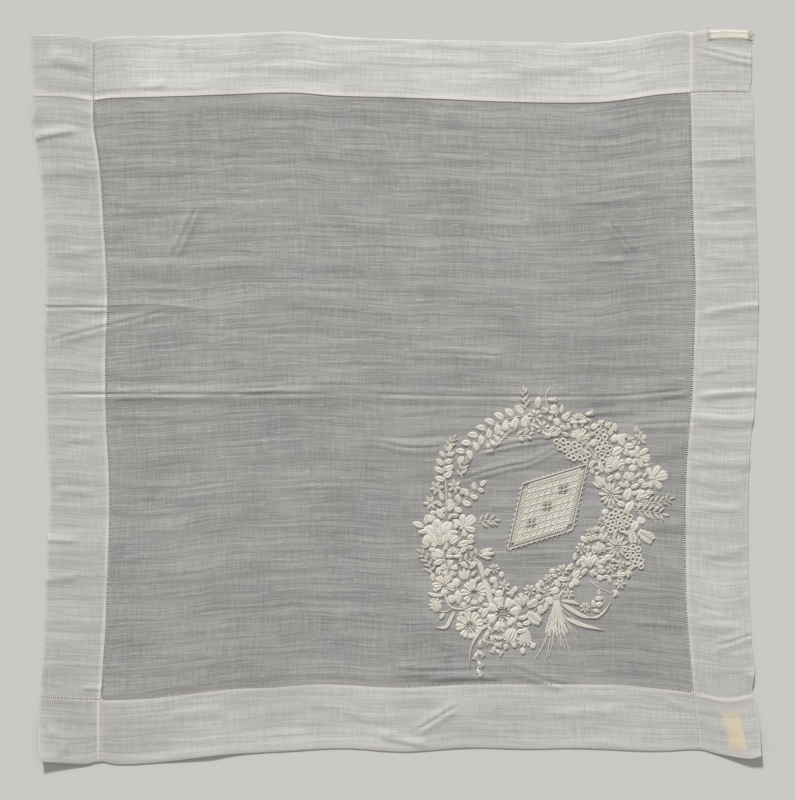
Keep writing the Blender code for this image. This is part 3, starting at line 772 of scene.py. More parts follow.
def start_material(name: str) -> tuple[bpy.types.Material, Nodes, bpy.types.Node]:
    """A new material, its node maker and its Principled shader."""
    material = bpy.data.materials.new(name)
    material.use_nodes = True
    tree = material.node_tree
    return material, Nodes(tree), tree.nodes["Principled BSDF"]


@dataclass(frozen=True)
class Linen:
    """Fine uneven linen: its dark and light thread colours, and how far light passes it."""

    name: str
    dark: tuple[float, float, float, float]
    light: tuple[float, float, float, float]
    open_alpha: float
    close_alpha: float
    tones: tuple["ToneStep", ...]
    hem: bool = False

    def material(self, weave: bpy.types.NodeTree, ageing: bpy.types.NodeTree) -> bpy.types.Material:
        """Make the finish from the shared groups.

        Args:
            weave: The uneven weave group.
            ageing: The uneven ageing group.

        Returns:
            The linen's material.
        """
        material, nodes, shader = start_material(self.name)
        place = nodes.add("UVMap", uv_map=THREAD_MAP).outputs[0]
        cloth = nodes.group(weave, {"Place": place, "Pitch": 0.42})
        streaks, slubs = cloth.outputs["Streaks"], cloth.outputs["Slubs"]
        colour = nodes.blend(streaks, self.dark, self.light)
        colour = nodes.blend(nodes.calc("MULTIPLY", slubs, 0.55), colour, LINEN_SLUB)
        apart = nodes.add("SeparateXYZ", {0: place})
        tone = 1.0
        for step in self.tones:
            share = nodes.ramp(apart.outputs[step.axis], step.low, step.high, 1.0, step.tone)
            tone = nodes.calc("MULTIPLY", share, tone)
        colour = nodes.add("VectorMath", {0: colour, "Scale": tone}, operation="SCALE").outputs[0]
        # The needle holes are painted shade: dark and opaque along the single cloth's edge.
        holes = 0.0 if self.hem else self.painted_hole_shade(nodes, place)
        if not self.hem:
            colour = nodes.blend(holes, colour, LINEN_HOLE_SHADE)
        else:
            # Brighter turned-in strips for their extra layers, with painted highlights on the rims and the
            # bottom hem's fold.
            colour = nodes.blend(self.strips_and_highlights(nodes, place), colour, LINEN_STRIP_AND_HIGHLIGHT)
            # Painted shade along the corner stitch lines.
            colour = nodes.blend(self.stubs(nodes, place), colour, LINEN_STUB_SHADE)
            colour = nodes.blend(self.stain(nodes, place), colour, LINEN_STAIN)
        aged = nodes.group(ageing, {"Colour": colour, "Tint": LINEN_AGE, "Scale": 18.0, "Amount": 0.16})
        nodes.feed(shader.inputs["Base Color"], aged.outputs["Colour"])
        rough = nodes.ramp(streaks, 0.0, 1.0, 0.92, 0.78)
        nodes.feed(shader.inputs["Roughness"], rough)
        alpha = nodes.ramp(streaks, 0.0, 1.0, self.open_alpha, self.close_alpha)
        alpha = nodes.calc("MULTIPLY_ADD", slubs, 0.12, alpha, clamp=True)
        nodes.feed(shader.inputs["Alpha"], nodes.calc("MAXIMUM", alpha, holes))
        bump = nodes.add("Bump", {"Height": cloth.outputs["Relief"], "Strength": 0.55, "Distance": 0.00012})
        nodes.feed(shader.inputs["Normal"], bump.outputs[0])
        shader.inputs["Sheen Weight"].default_value = 0.15
        shader.inputs["Sheen Roughness"].default_value = 0.5
        return material

    @staticmethod
    def painted_hole_shade(nodes: Nodes, place: bpy.types.NodeSocket) -> bpy.types.NodeSocket:
        """Where the needle holes are painted dark under the bars, along the edge of the single cloth: painted
        shade in the holes.
        """
        apart = nodes.add("SeparateXYZ", {0: place})
        a, b = apart.outputs["X"], apart.outputs["Y"]
        near = nodes.calc("SUBTRACT", a, LEFT.seam)
        near = nodes.calc("MINIMUM", near, nodes.calc("SUBTRACT", RIGHT.seam, a))
        near = nodes.calc("MINIMUM", nodes.calc("SUBTRACT", b, BOTTOM.seam), near)
        near = nodes.calc("MINIMUM", nodes.calc("SUBTRACT", TOP.seam + TOP_SHADE, b), near)
        line = nodes.ramp(near, HOLE_SHADE_REACH + 0.1, HOLE_SHADE_REACH - 0.1)
        patchy = nodes.ramp(nodes.noise(place, (0.05, 0.05, 1.0)), 0.3, 0.55, 0.6, 1.0)
        return nodes.calc("MULTIPLY", line, patchy)

    @staticmethod
    def strips_and_highlights(nodes: Nodes, place: bpy.types.NodeSocket) -> bpy.types.NodeSocket:
        """Where the turned-in edges show brighter for their extra layers, and where painted highlights lie on
        the outer rims and the bottom hem's outer fold, from 0 to 1.
        """
        apart = nodes.add("SeparateXYZ", {0: place})
        a, b = apart.outputs["X"], apart.outputs["Y"]
        back_a, back_b = nodes.calc("MULTIPLY", a, -1.0), nodes.calc("MULTIPLY", b, -1.0)
        uneven = nodes.calc("MULTIPLY_ADD", nodes.noise(place, (0.09, 0.09, 1.0)), 1.4, -0.7)
        total = 0.0
        for out, run, start, corner, strength, corner_strength in (
            (nodes.calc("SUBTRACT", b, TOP.seam), back_a, -RIGHT.seam, -LEFT.seam, 1.0, 1.0),
            (nodes.calc("SUBTRACT", a, RIGHT.seam), b, BOTTOM.seam, TOP.seam, 0.3, 0.85),
            (nodes.calc("SUBTRACT", BOTTOM.seam, b), a, LEFT.seam, RIGHT.seam, 0.45, 0.75),
            (nodes.calc("SUBTRACT", LEFT.seam, a), back_b, -TOP.seam, -BOTTOM.seam, 0.55, 0.75),
        ):
            inner = nodes.ramp(nodes.calc("ADD", out, uneven), TURNED_IN + 0.9, TURNED_IN - 1.5)
            inner = nodes.calc("MULTIPLY", inner, nodes.calc("GREATER_THAN", out, 0.0))
            inner = nodes.calc("MULTIPLY", inner, nodes.calc("GREATER_THAN", run, start))
            shade = nodes.ramp(run, corner - STRIP_FADE, corner + STRIP_FADE, strength, corner_strength)
            inner = nodes.calc("MULTIPLY", inner, shade)
            total = nodes.calc("MAXIMUM", inner, total)
        rims = [
            nodes.calc("SUBTRACT", a, LEFT.line), nodes.calc("SUBTRACT", RIGHT.line, a),
            nodes.calc("SUBTRACT", b, BOTTOM.line), nodes.calc("SUBTRACT", TOP.line, b),
        ]
        # Painted highlights along the outer rims.
        for rim in rims:
            edge = nodes.ramp(nodes.calc("ADD", rim, uneven), 1.4, 0.5, 0.0, 0.3)
            total = nodes.calc("MAXIMUM", edge, total)
        # Painted highlight along the bottom hem's outer fold.
        painted_fold_highlight = nodes.ramp(nodes.calc("ADD", rims[2], uneven), LOW_HIGHLIGHT_BAND + 0.4, LOW_HIGHLIGHT_BAND - 0.4, 0.0, 0.22)
        total = nodes.calc("MAXIMUM", painted_fold_highlight, total)
        patchy = nodes.ramp(nodes.noise(place, (0.03, 0.03, 1.0)), 0.3, 0.6, 0.5, 0.95)
        return nodes.calc("MULTIPLY", total, patchy)

    @staticmethod
    def stubs(nodes: Nodes, place: bpy.types.NodeSocket) -> bpy.types.NodeSocket:
        """Where the corner stitch lines are painted dark, as painted shade in their open stitches, from 0 to
        1.
        """
        apart = nodes.add("SeparateXYZ", {0: place})
        a, b = apart.outputs["X"], apart.outputs["Y"]
        total = 0.0
        for seam in corner_seams():
            aside, along = (b, a) if seam.across else (a, b)
            near = nodes.calc("ABSOLUTE", nodes.calc("SUBTRACT", aside, seam.place))
            near = nodes.ramp(near, 0.55, 0.2, 0.0, 0.55)
            near = nodes.calc("MULTIPLY", near, nodes.calc("GREATER_THAN", along, seam.start))
            near = nodes.calc("MULTIPLY", near, nodes.calc("LESS_THAN", along, seam.end))
            total = nodes.calc("MAXIMUM", near, total)
        return total

    @staticmethod
    def stain(nodes: Nodes, place: bpy.types.NodeSocket) -> bpy.types.NodeSocket:
        """Where the tan stain on the lower right corner lies, from 0 to 1."""
        apart = nodes.add("SeparateXYZ", {0: place})
        waver = nodes.calc("MULTIPLY_ADD", nodes.noise(place, (0.35, 0.35, 1.0), 3.0), 5.0, -2.5)
        low, high = STAIN_Y - STAIN_HALF_HEIGHT, STAIN_Y + STAIN_HALF_HEIGHT
        middle = nodes.ramp(apart.outputs["Y"], low, high, STAIN_X + STAIN_LEAN, STAIN_X - STAIN_LEAN)
        dx = nodes.calc("ABSOLUTE", nodes.calc("SUBTRACT", apart.outputs["X"], middle))
        dy = nodes.calc("ABSOLUTE", nodes.calc("SUBTRACT", apart.outputs["Y"], STAIN_Y))
        over = nodes.calc("DIVIDE", dx, STAIN_HALF_WIDTH)
        over = nodes.calc("MAXIMUM", over, nodes.calc("DIVIDE", dy, STAIN_HALF_HEIGHT))
        edge = nodes.calc("MULTIPLY_ADD", waver, 0.2, over)
        return nodes.ramp(edge, 1.3, 0.6, 0.0, 0.9)


# The colours of the linen's slubs, stain, brighter strips and painted highlights, painted shade of the corner
# stitch lines and needle holes, and age.
LINEN_SLUB = (0.66, 0.66, 0.64, 1.0)
LINEN_STAIN = (0.71, 0.61, 0.44, 1.0)
LINEN_STRIP_AND_HIGHLIGHT = (0.82, 0.79, 0.74, 1.0)
LINEN_STUB_SHADE = (0.19, 0.17, 0.145, 1.0)
LINEN_HOLE_SHADE = (0.07, 0.067, 0.063, 1.0)
LINEN_AGE = (0.56, 0.53, 0.45, 1.0)

# How far the painted shade of the needle holes reaches in from a seam, and how much less under the shading
# top hem.
HOLE_SHADE_REACH = 1.15
TOP_SHADE = 0.4

# Over what distance a brighter strip changes where it crosses a corner.
STRIP_FADE = 3.0

# The tan stain's middle, half its size, and how far it leans.
STAIN_X = 217.2
STAIN_Y = -212.9
STAIN_HALF_WIDTH = 5.8
STAIN_HALF_HEIGHT = 12.6
STAIN_LEAN = 1.4

# The width of the slightly lighter band along the bottom hem's outer edge, a painted highlight.
LOW_HIGHLIGHT_BAND = 6.5


@dataclass(frozen=True)
class ToneStep:
    """A change of the cloth's tone from one place to another, across it (X) or up it (Y)."""

    axis: str
    low: float
    high: float
    tone: float


SHEER = Linen(
    "sheer_linen", (0.25, 0.248, 0.243, 1.0), (0.47, 0.465, 0.455, 1.0), 0.74, 0.86,
    (ToneStep("Y", -200.0, 190.0, 1.12),),
)
HEMMED = Linen(
    "hemmed_linen", (0.50, 0.495, 0.475, 1.0), (0.73, 0.72, 0.69, 1.0), 0.9, 0.97,
    (
        ToneStep("X", -150.0, -195.0, 0.85), ToneStep("X", 150.0, 195.0, 0.93),
        ToneStep("Y", -150.0, -195.0, 0.89), ToneStep("Y", 150.0, 195.0, 1.08),
    ),
    hem=True,
)


@dataclass(frozen=True)
class SatinThread:
    """Soft cotton embroidery thread laid in satin stitch."""

    name: str
    # deep is a painted shade colour for the grooves between threads, and crest a painted highlight colour for
    # their crests.
    deep: tuple[float, float, float, float]
    crest: tuple[float, float, float, float]
    pitch: float

    def material(self, threads: bpy.types.NodeTree, ageing: bpy.types.NodeTree) -> bpy.types.Material:
        """Make the finish from the shared groups.

        Args:
            threads: The satin thread group.
            ageing: The uneven ageing group.

        Returns:
            The thread's material.
        """
        material, nodes, shader = start_material(self.name)
        place = nodes.add("UVMap", uv_map=THREAD_MAP).outputs[0]
        laid = nodes.group(threads, {"Place": place, "Pitch": self.pitch})
        # Painted light: the colour runs from the painted groove shade to the painted crest highlight with the
        # thread relief, and varies unevenly.
        colour = nodes.blend(laid.outputs["LinesAndShading"], self.deep, self.crest)
        aged = nodes.group(ageing, {"Colour": colour, "Tint": THREAD_AGE, "Scale": 90.0, "Amount": 0.3})
        nodes.feed(shader.inputs["Base Color"], aged.outputs["Colour"])
        nodes.feed(shader.inputs["Roughness"], nodes.ramp(laid.outputs["LinesAndShading"], 0.0, 1.0, 0.7, 0.5))
        bump = nodes.add("Bump", {"Height": laid.outputs["Relief"], "Strength": 0.5, "Distance": 0.00012})
        nodes.feed(shader.inputs["Normal"], bump.outputs[0])
        shader.inputs["Sheen Weight"].default_value = 0.1
        return material


THREAD_AGE = (0.66, 0.58, 0.46, 1.0)
WREATH_THREAD = SatinThread("wreath_thread", (0.56, 0.53, 0.47, 1.0), (0.82, 0.79, 0.72, 1.0), 0.5)
HEM_THREAD = SatinThread("hem_thread", (0.66, 0.64, 0.60, 1.0), (0.86, 0.84, 0.80, 1.0), 0.3)


@dataclass(frozen=True)
class TapeCotton:
    """The cream woven tape of the corner."""

    name: str = "cream_tape"
    dark: tuple[float, float, float, float] = (0.70, 0.64, 0.53, 1.0)
    light: tuple[float, float, float, float] = (0.86, 0.83, 0.74, 1.0)

    def material(self, weave: bpy.types.NodeTree, ageing: bpy.types.NodeTree) -> bpy.types.Material:
        """Make the tape's finish from the shared groups."""
        material, nodes, shader = start_material(self.name)
        place = nodes.add("UVMap", uv_map=THREAD_MAP).outputs[0]
        cloth = nodes.group(weave, {"Place": place, "Pitch": 0.6, "Seed": 4.0})
        colour = nodes.blend(cloth.outputs["Streaks"], self.dark, self.light)
        aged = nodes.group(ageing, {"Colour": colour, "Tint": THREAD_AGE, "Scale": 200.0, "Amount": 0.35})
        nodes.feed(shader.inputs["Base Color"], aged.outputs["Colour"])
        nodes.feed(shader.inputs["Roughness"], nodes.ramp(cloth.outputs["Relief"], 0.0, 1.0, 0.9, 0.7))
        bump = nodes.add("Bump", {"Height": cloth.outputs["Relief"], "Strength": 0.7, "Distance": 0.0002})
        nodes.feed(shader.inputs["Normal"], bump.outputs[0])
        return material


@dataclass
class Finishes:
    """Every material of the handkerchief, made once from the shared groups."""

    sheer: bpy.types.Material = field(init=False)
    hemmed: bpy.types.Material = field(init=False)
    wreath: bpy.types.Material = field(init=False)
    hem_thread: bpy.types.Material = field(init=False)
    tape: bpy.types.Material = field(init=False)

    def __post_init__(self) -> None:
        """Make the groups, then the materials that use them."""
        weave, ageing, threads = weave_group(), ageing_group(), thread_group()
        self.sheer = SHEER.material(weave, ageing)
        self.hemmed = HEMMED.material(weave, ageing)
        self.wreath = WREATH_THREAD.material(threads, ageing)
        self.hem_thread = HEM_THREAD.material(threads, ageing)
        self.tape = TapeCotton().material(weave, ageing)


@dataclass(frozen=True)
class Hole:
    """A pierced eyelet in the cloth, from the wreath's middle."""

    x: float
    y: float
    radius: float


@dataclass
class ClothSheet:
    """The linen square: its single middle, and its hems folded under along the sides."""

    ground: Ground
    finishes: Finishes
    gap: float = 0.5
    centre_gap: float = 0.04
    column_pitch: float = 2.05
    row_pitch: float = 0.98
    turned_rise: float = 0.16
    furrow: float = 0.35
    edge_round: float = 0.35
    edge_drop: float = 0.3
    edge_soft: float = 0.9
    under_follow: float = 0.98
    cut_size: float = 0.555
    hem_area: float = 0.15

    def rows(self, low: float, high: float) -> np.ndarray:
        """The grid's lines up the cloth between two places."""
        return spaced(low, high, self.row_pitch, FINE_ROWS)

    def columns(self, low: float, high: float) -> np.ndarray:
        """The grid's lines across the cloth between two places."""
        return spaced(low, high, self.column_pitch, FINE_COLUMNS)

    def centre(self, holes: Sequence[Hole]) -> bpy.types.Object:
        """Build the single cloth inside the hemstitch lines.

        Args:
            holes: The pierced eyelets to leave out.

        Returns:
            The sheer middle of the cloth.
        """
        ground, half = self.ground, self.centre_gap
        a_lines = self.columns(ground.left.seam + half, ground.right.seam - half)
        b_lines = self.rows(ground.bottom.seam + half, ground.top.seam - half)
        a, b = np.meshgrid(a_lines, b_lines, indexing="ij")
        x, y = ground.laid(a, b)
        points = np.stack([x, y, ground.height(x, y)], axis=-1)
        keep = np.ones((len(a_lines) - 1, len(b_lines) - 1), dtype=bool)
        middle_x = (x[:-1, :-1] + x[1:, 1:]) / 2 - WREATH_X
        middle_y = (y[:-1, :-1] + y[1:, 1:]) / 2 - WREATH_Y
        for hole in holes:
            far = np.hypot(middle_x - hole.x, middle_y - hole.y)
            keep &= (far > hole.radius) & (far > far.min())
        draft = MeshDraft()
        add_cells(draft, points, np.stack([a, b], axis=-1), keep)
        return draft.to_object("sheer_middle", self.finishes.sheer)

    def hem(self, stubs: Sequence["Seam"]) -> bpy.types.Object:
        """Build the hems: an upper layer, a rounded outer fold, and the layer turned under.

        Args:
            stubs: The seam lines that run on across the corners, where the stitches draw it in.

        Returns:
            The folded border of the cloth.
        """
        ground = self.ground
        a_lines = self.border_lines(ground.left, ground.right, self.columns)
        b_lines = self.border_lines(ground.bottom, ground.top, self.rows)
        a, b = np.meshgrid(a_lines, b_lines, indexing="ij")
        mid_a = (a[:-1, :-1] + a[1:, 1:]) / 2
        mid_b = (b[:-1, :-1] + b[1:, 1:]) / 2
        keep = ground.depth(mid_a, mid_b) > self.gap / 2
        draft = MeshDraft()
        upper = self.hem_points(a, b, 0.0)
        for stub in stubs:
            upper[..., 2] -= self.furrow * stub.covers(a, b, self.gap / 4)
        under = self.hem_points(a, b, 1.0)
        threads = np.stack([a, b], axis=-1)
        add_cells(draft, upper, threads, keep)
        add_cells(draft, under, threads, keep, flip=True)
        self.add_rim(draft, a, b, threads)
        return draft.to_object("hem_border", self.finishes.hemmed)

    def border_lines(self, low: Side, high: Side, lines: Callable[[float, float], np.ndarray]) -> np.ndarray:
        """The grid's lines from one side to the other, with the hemstitch gaps as two cells each."""
        half = self.gap / 2
        return np.concatenate([
            lines(low.line, low.seam - half), [low.seam],
            lines(low.seam + half, high.seam - half), [high.seam],
            lines(high.seam + half, high.line),
        ])

    def hem_points(self, a: np.ndarray, b: np.ndarray, under: float, push: float = 0.0) -> np.ndarray:
        """Points of one hem layer.

        Args:
            a: Places across the straight square.
            b: Places up the straight square.
            under: 0 for the upper layer, 1 for the layer turned under, or between for the fold.
            push: How far the points stand outside the sides.

        Returns:
            The points as rows of x, y and z.
        """
        ground = self.ground
        x, y = ground.laid(a, b)
        x = x + push * (np.sign(a) * (np.abs(a) > ground.right.seam))
        y = y + push * (np.sign(b) * (np.abs(b) > ground.top.seam))
        single = ground.height(x, y)
        rim = np.minimum.reduce([
            a - ground.left.line, ground.right.line - a, b - ground.bottom.line, ground.top.line - b
        ])
        upper = single + HEM_LAYER - SINGLE_LAYER
        upper = upper + self.turned_rise * ground.turned(a, b)
        upper = upper - self.edge_drop * np.exp(-np.maximum(rim, 0.0) / self.edge_soft)
        lower = UNDER_LAYER + (single - SINGLE_LAYER) * self.under_follow
        z = upper * (1.0 - under) + lower * under
        return np.stack([x, y, np.maximum(z, UNDER_LAYER / 2)], axis=-1)

    def add_rim(self, draft: MeshDraft, a: np.ndarray, b: np.ndarray, threads: np.ndarray) -> None:
        """Close the outer fold between the two hem layers with a rounded rim."""
        loop = outer_loop(a.shape)
        rows, cols = zip(*loop)
        ring_a, ring_b = a[rows, cols], b[rows, cols]
        ring_thread = threads[rows, cols]
        rings = [
            self.hem_points(ring_a, ring_b, under, push)
            for under, push in ((0.0, 0.0), (0.25, 0.8 * self.edge_round), (0.6, self.edge_round), (1.0, 0.0))
        ]
        count = len(loop)
        faces = []
        for first in range(0, (len(rings) - 1) * count, count):
            for i in range(count):
                j = (i + 1) % count
                faces.append((first + i, first + j, first + count + j, first + count + i))
        draft.add(np.concatenate(rings), np.concatenate([ring_thread] * len(rings)), faces)


@dataclass(frozen=True)
class FineBand:
    """A stretch of the cloth's grid whose lines lie closer together, for a crease."""

    low: float
    high: float
    pitch: float


FINE_ROWS = (FineBand(-57, -24, 0.7), FineBand(-5, 8, 0.55), FineBand(53, 62, 0.6))
FINE_COLUMNS = (FineBand(-150, -124, 1.2), FineBand(16, 36, 1.2), FineBand(130, 158, 1.2))


def spaced(low: float, high: float, pitch: float, bands: Sequence[FineBand] = ()) -> np.ndarray:
    """Places from low to high at about the given pitch, and closer together in some bands.

    Args:
        low: The first place.
        high: The last place.
        pitch: The distance between places outside the bands.
        bands: Where the places lie closer together.

    Returns:
        The places in order.
    """
    steps = np.linspace(low, high, 4000)
    dense = np.full(len(steps), 1.0 / pitch)
    for band in bands:
        dense[(steps > band.low) & (steps < band.high)] = 1.0 / band.pitch
    total = np.concatenate([[0.0], np.cumsum(0.5 * (dense[1:] + dense[:-1]) * np.diff(steps))])
    return np.interp(np.linspace(0.0, total[-1], max(2, round(total[-1]) + 1)), total, steps)


def outer_loop(shape: tuple[int, int]) -> list[tuple[int, int]]:
    """The grid indices round the outside of a grid, in order."""
    last_row, last_col = shape[0] - 1, shape[1] - 1
    loop = [(i, 0) for i in range(last_row)]
    loop += [(last_row, j) for j in range(last_col)]
    loop += [(i, last_col) for i in range(last_row, 0, -1)]
    loop += [(0, j) for j in range(last_col, 0, -1)]
    return loop


def add_cells(draft: MeshDraft, points: np.ndarray, threads: np.ndarray, keep: np.ndarray,
              flip: bool = False) -> None:
    """Add the kept cells of a grid, with only the points that they use.

    Args:
        draft: The mesh being gathered.
        points: The grid's points, by row and column.
        threads: The grid's thread places.
        keep: Which cells to keep.
        flip: True to turn the faces over.
    """
    cols = points.shape[1]
    rows_kept, cols_kept = np.nonzero(keep)
    first = rows_kept * cols + cols_kept
    quads = np.stack([first, first + cols, first + cols + 1, first + 1], axis=-1)
    if flip:
        quads = quads[:, ::-1]
    used, renumbered = np.unique(quads, return_inverse=True)
    faces = renumbered.reshape(quads.shape).tolist()
    draft.add(points.reshape(-1, 3)[used], threads.reshape(-1, 2)[used], faces)


@dataclass
class Hemstitch:
    """The bars of thread that bridge the drawn-thread gap, and the runs they stand on."""

    ground: Ground
    finishes: Finishes
    pitch: float = 1.4
    gap: float = 0.5
    bar_width: float = 0.68
    pinch: float = 0.95
    pinch_at: float = 0.3
    bar_height: float = 0.22
    bar_sunk: float = 0.1
    overlap: float = 1.0
    stray: float = 0.12

    def runs(self) -> list[Seam]:
        """The four long runs between the corners."""
        g = self.ground
        return [
            Seam(False, g.left.seam, g.bottom.seam, g.top.seam),
            Seam(False, g.right.seam, g.bottom.seam, g.top.seam),
            Seam(True, g.bottom.seam, g.left.seam, g.right.seam),
            Seam(True, g.top.seam, g.left.seam, g.right.seam),
        ]

    def build(self) -> bpy.types.Object:
        """Build every bar of every run as one piece."""
        draft = MeshDraft()
        rng = np.random.default_rng(BAR_SEED)
        for seam in self.runs():
            self.add_run(draft, seam, SINGLE_LAYER, rng)
        for seam in corner_seams():
            self.add_run(draft, seam, HEM_LAYER, rng)
        return draft.to_object("hemstitch_bars", self.finishes.hem_thread)

    def add_run(self, draft: MeshDraft, seam: Seam, inner: float, rng: np.random.Generator) -> None:
        """Add the bars of one run.

        Args:
            draft: The mesh being gathered.
            seam: The run.
            inner: The height of the cloth on the run's inner side.
            rng: The source of the bars' unevenness.
        """
        along = np.arange(seam.start + self.pitch / 2, seam.end, self.pitch)
        inward = 1 if seam.place < 0 else -1
        reach = self.gap / 2 + self.overlap
        stations = np.array([-reach, -self.pinch_at * reach, self.pinch_at * reach, reach])
        wide = np.array([1.0, self.pinch, self.pinch, 1.0]) * self.bar_width / 2
        for spot in along + rng.uniform(-self.stray, self.stray, len(along)):
            grid_along = spot + wide[:, None] * np.array([-1.0, 0.0, 1.0])
            grid_aside = np.repeat(seam.place + inward * stations[:, None], 3, axis=1)
            a, b = (grid_along, grid_aside) if seam.across else (grid_aside, grid_along)
            x, y = self.ground.laid(a, b)
            share = np.linspace(0.0, 1.0, len(stations))[:, None]
            layer = HEM_LAYER * (1 - share) + inner * share - SINGLE_LAYER
            crown = np.array([-self.bar_sunk, self.bar_height, -self.bar_sunk])[None, :]
            self.add_bar(draft, x, y, layer + crown, spot)

    def add_bar(self, draft: MeshDraft, x: np.ndarray, y: np.ndarray, over: np.ndarray, spot: float) -> None:
        """Add one half-round bar, which stands over the cloth by the given heights."""
        rows, cols = x.shape
        z = self.ground.height(x, y) + over
        first, second = np.meshgrid(np.arange(rows) * 0.4 + spot, np.arange(cols) * 0.2, indexing="ij")
        threads = np.stack([first, second], axis=-1)
        points = np.stack([x, y, z], axis=-1).reshape(-1, 3)
        draft.add(points, threads.reshape(-1, 2), closed_patch_faces(rows, cols))


def closed_patch_faces(rows: int, cols: int) -> list[tuple[int, ...]]:
    """Faces of a domed patch that is closed underneath from rim to rim and at both ends."""
    faces = [
        (i * cols + j, (i + 1) * cols + j, (i + 1) * cols + j + 1, i * cols + j + 1)
        for i in range(rows - 1)
        for j in range(cols - 1)
    ]
    last = cols - 1
    faces += [(i * cols, i * cols + last, (i + 1) * cols + last, (i + 1) * cols) for i in range(rows - 1)]
    faces.append(tuple(range(cols)))
    faces.append(tuple((rows - 1) * cols + j for j in range(last, -1, -1)))
    return faces


def petal_width(shape: Petal, t: np.ndarray) -> np.ndarray:
    """The share of its full width that a padded shape has along its length.

    Args:
        shape: The outline.
        t: Places along it, from 0 at the base to 1 at the tip.

    Returns:
        Shares of the width.
    """
    if shape is Petal.LEAF:
        return (4.0 * t * (1.0 - t)) ** 0.7 * (1.12 - 0.24 * t)
    if shape is Petal.DROP:
        return 1.38 * t**0.7 * np.sqrt(np.maximum(0.0, 1.0 - t**4))
    if shape is Petal.FAN:
        return 1.12 * t**0.5 * np.sqrt(np.maximum(0.0, 1.0 - t**8))
    if shape is Petal.BLADE:
        return (4.0 * t * (1.0 - t)) ** 0.9 * (1.35 - 0.9 * t)
    return 2.0 * np.sqrt(np.maximum(0.0, t * (1.0 - t)))


def curved(route: Sequence[tuple[float, float]], steps: int) -> np.ndarray:
    """Points on a smooth curve through a route's points."""
    given = np.array(route, dtype=float)
    padded = np.vstack([2 * given[0] - given[1], given, 2 * given[-1] - given[-2]])
    path = []
    for p0, p1, p2, p3 in zip(padded, padded[1:], padded[2:], padded[3:]):
        for t in np.arange(steps) / steps:
            square = (2 * p0 - 5 * p1 + 4 * p2 - p3) * t**2
            path.append(0.5 * (2 * p1 + (p2 - p0) * t + square + (3 * p1 - p0 - 3 * p2 + p3) * t**3))
    path.append(given[-1])
    return np.array(path)


def polar(x: float, y: float, radius: float, angle: float) -> tuple[float, float]:
    """A point at a distance and a direction in degrees from another."""
    return x + radius * math.cos(math.radians(angle)), y + radius * math.sin(math.radians(angle))


class Covered:
    """Which small cells of the wreath's ground are under stitches already."""

    cell = 0.8
    reach = 110.0

    def __init__(self) -> None:
        """Start with bare ground."""
        size = round(2 * self.reach / self.cell)
        self.cells = np.zeros((size, size), dtype=bool)

    def spots(self, x: np.ndarray, y: np.ndarray) -> tuple[np.ndarray, np.ndarray]:
        """The cells that hold some points."""
        last = self.cells.shape[0] - 1
        i = np.clip((np.asarray(x) + self.reach) / self.cell, 0, last).astype(int)
        j = np.clip((np.asarray(y) + self.reach) / self.cell, 0, last).astype(int)
        return i, j

    def claim(self, x: np.ndarray, y: np.ndarray) -> None:
        """Mark the cells under some points."""
        self.cells[self.spots(x, y)] = True

    def share(self, x: np.ndarray, y: np.ndarray) -> float:
        """The share of some points whose cells are taken."""
        return float(self.cells[self.spots(x, y)].mean())


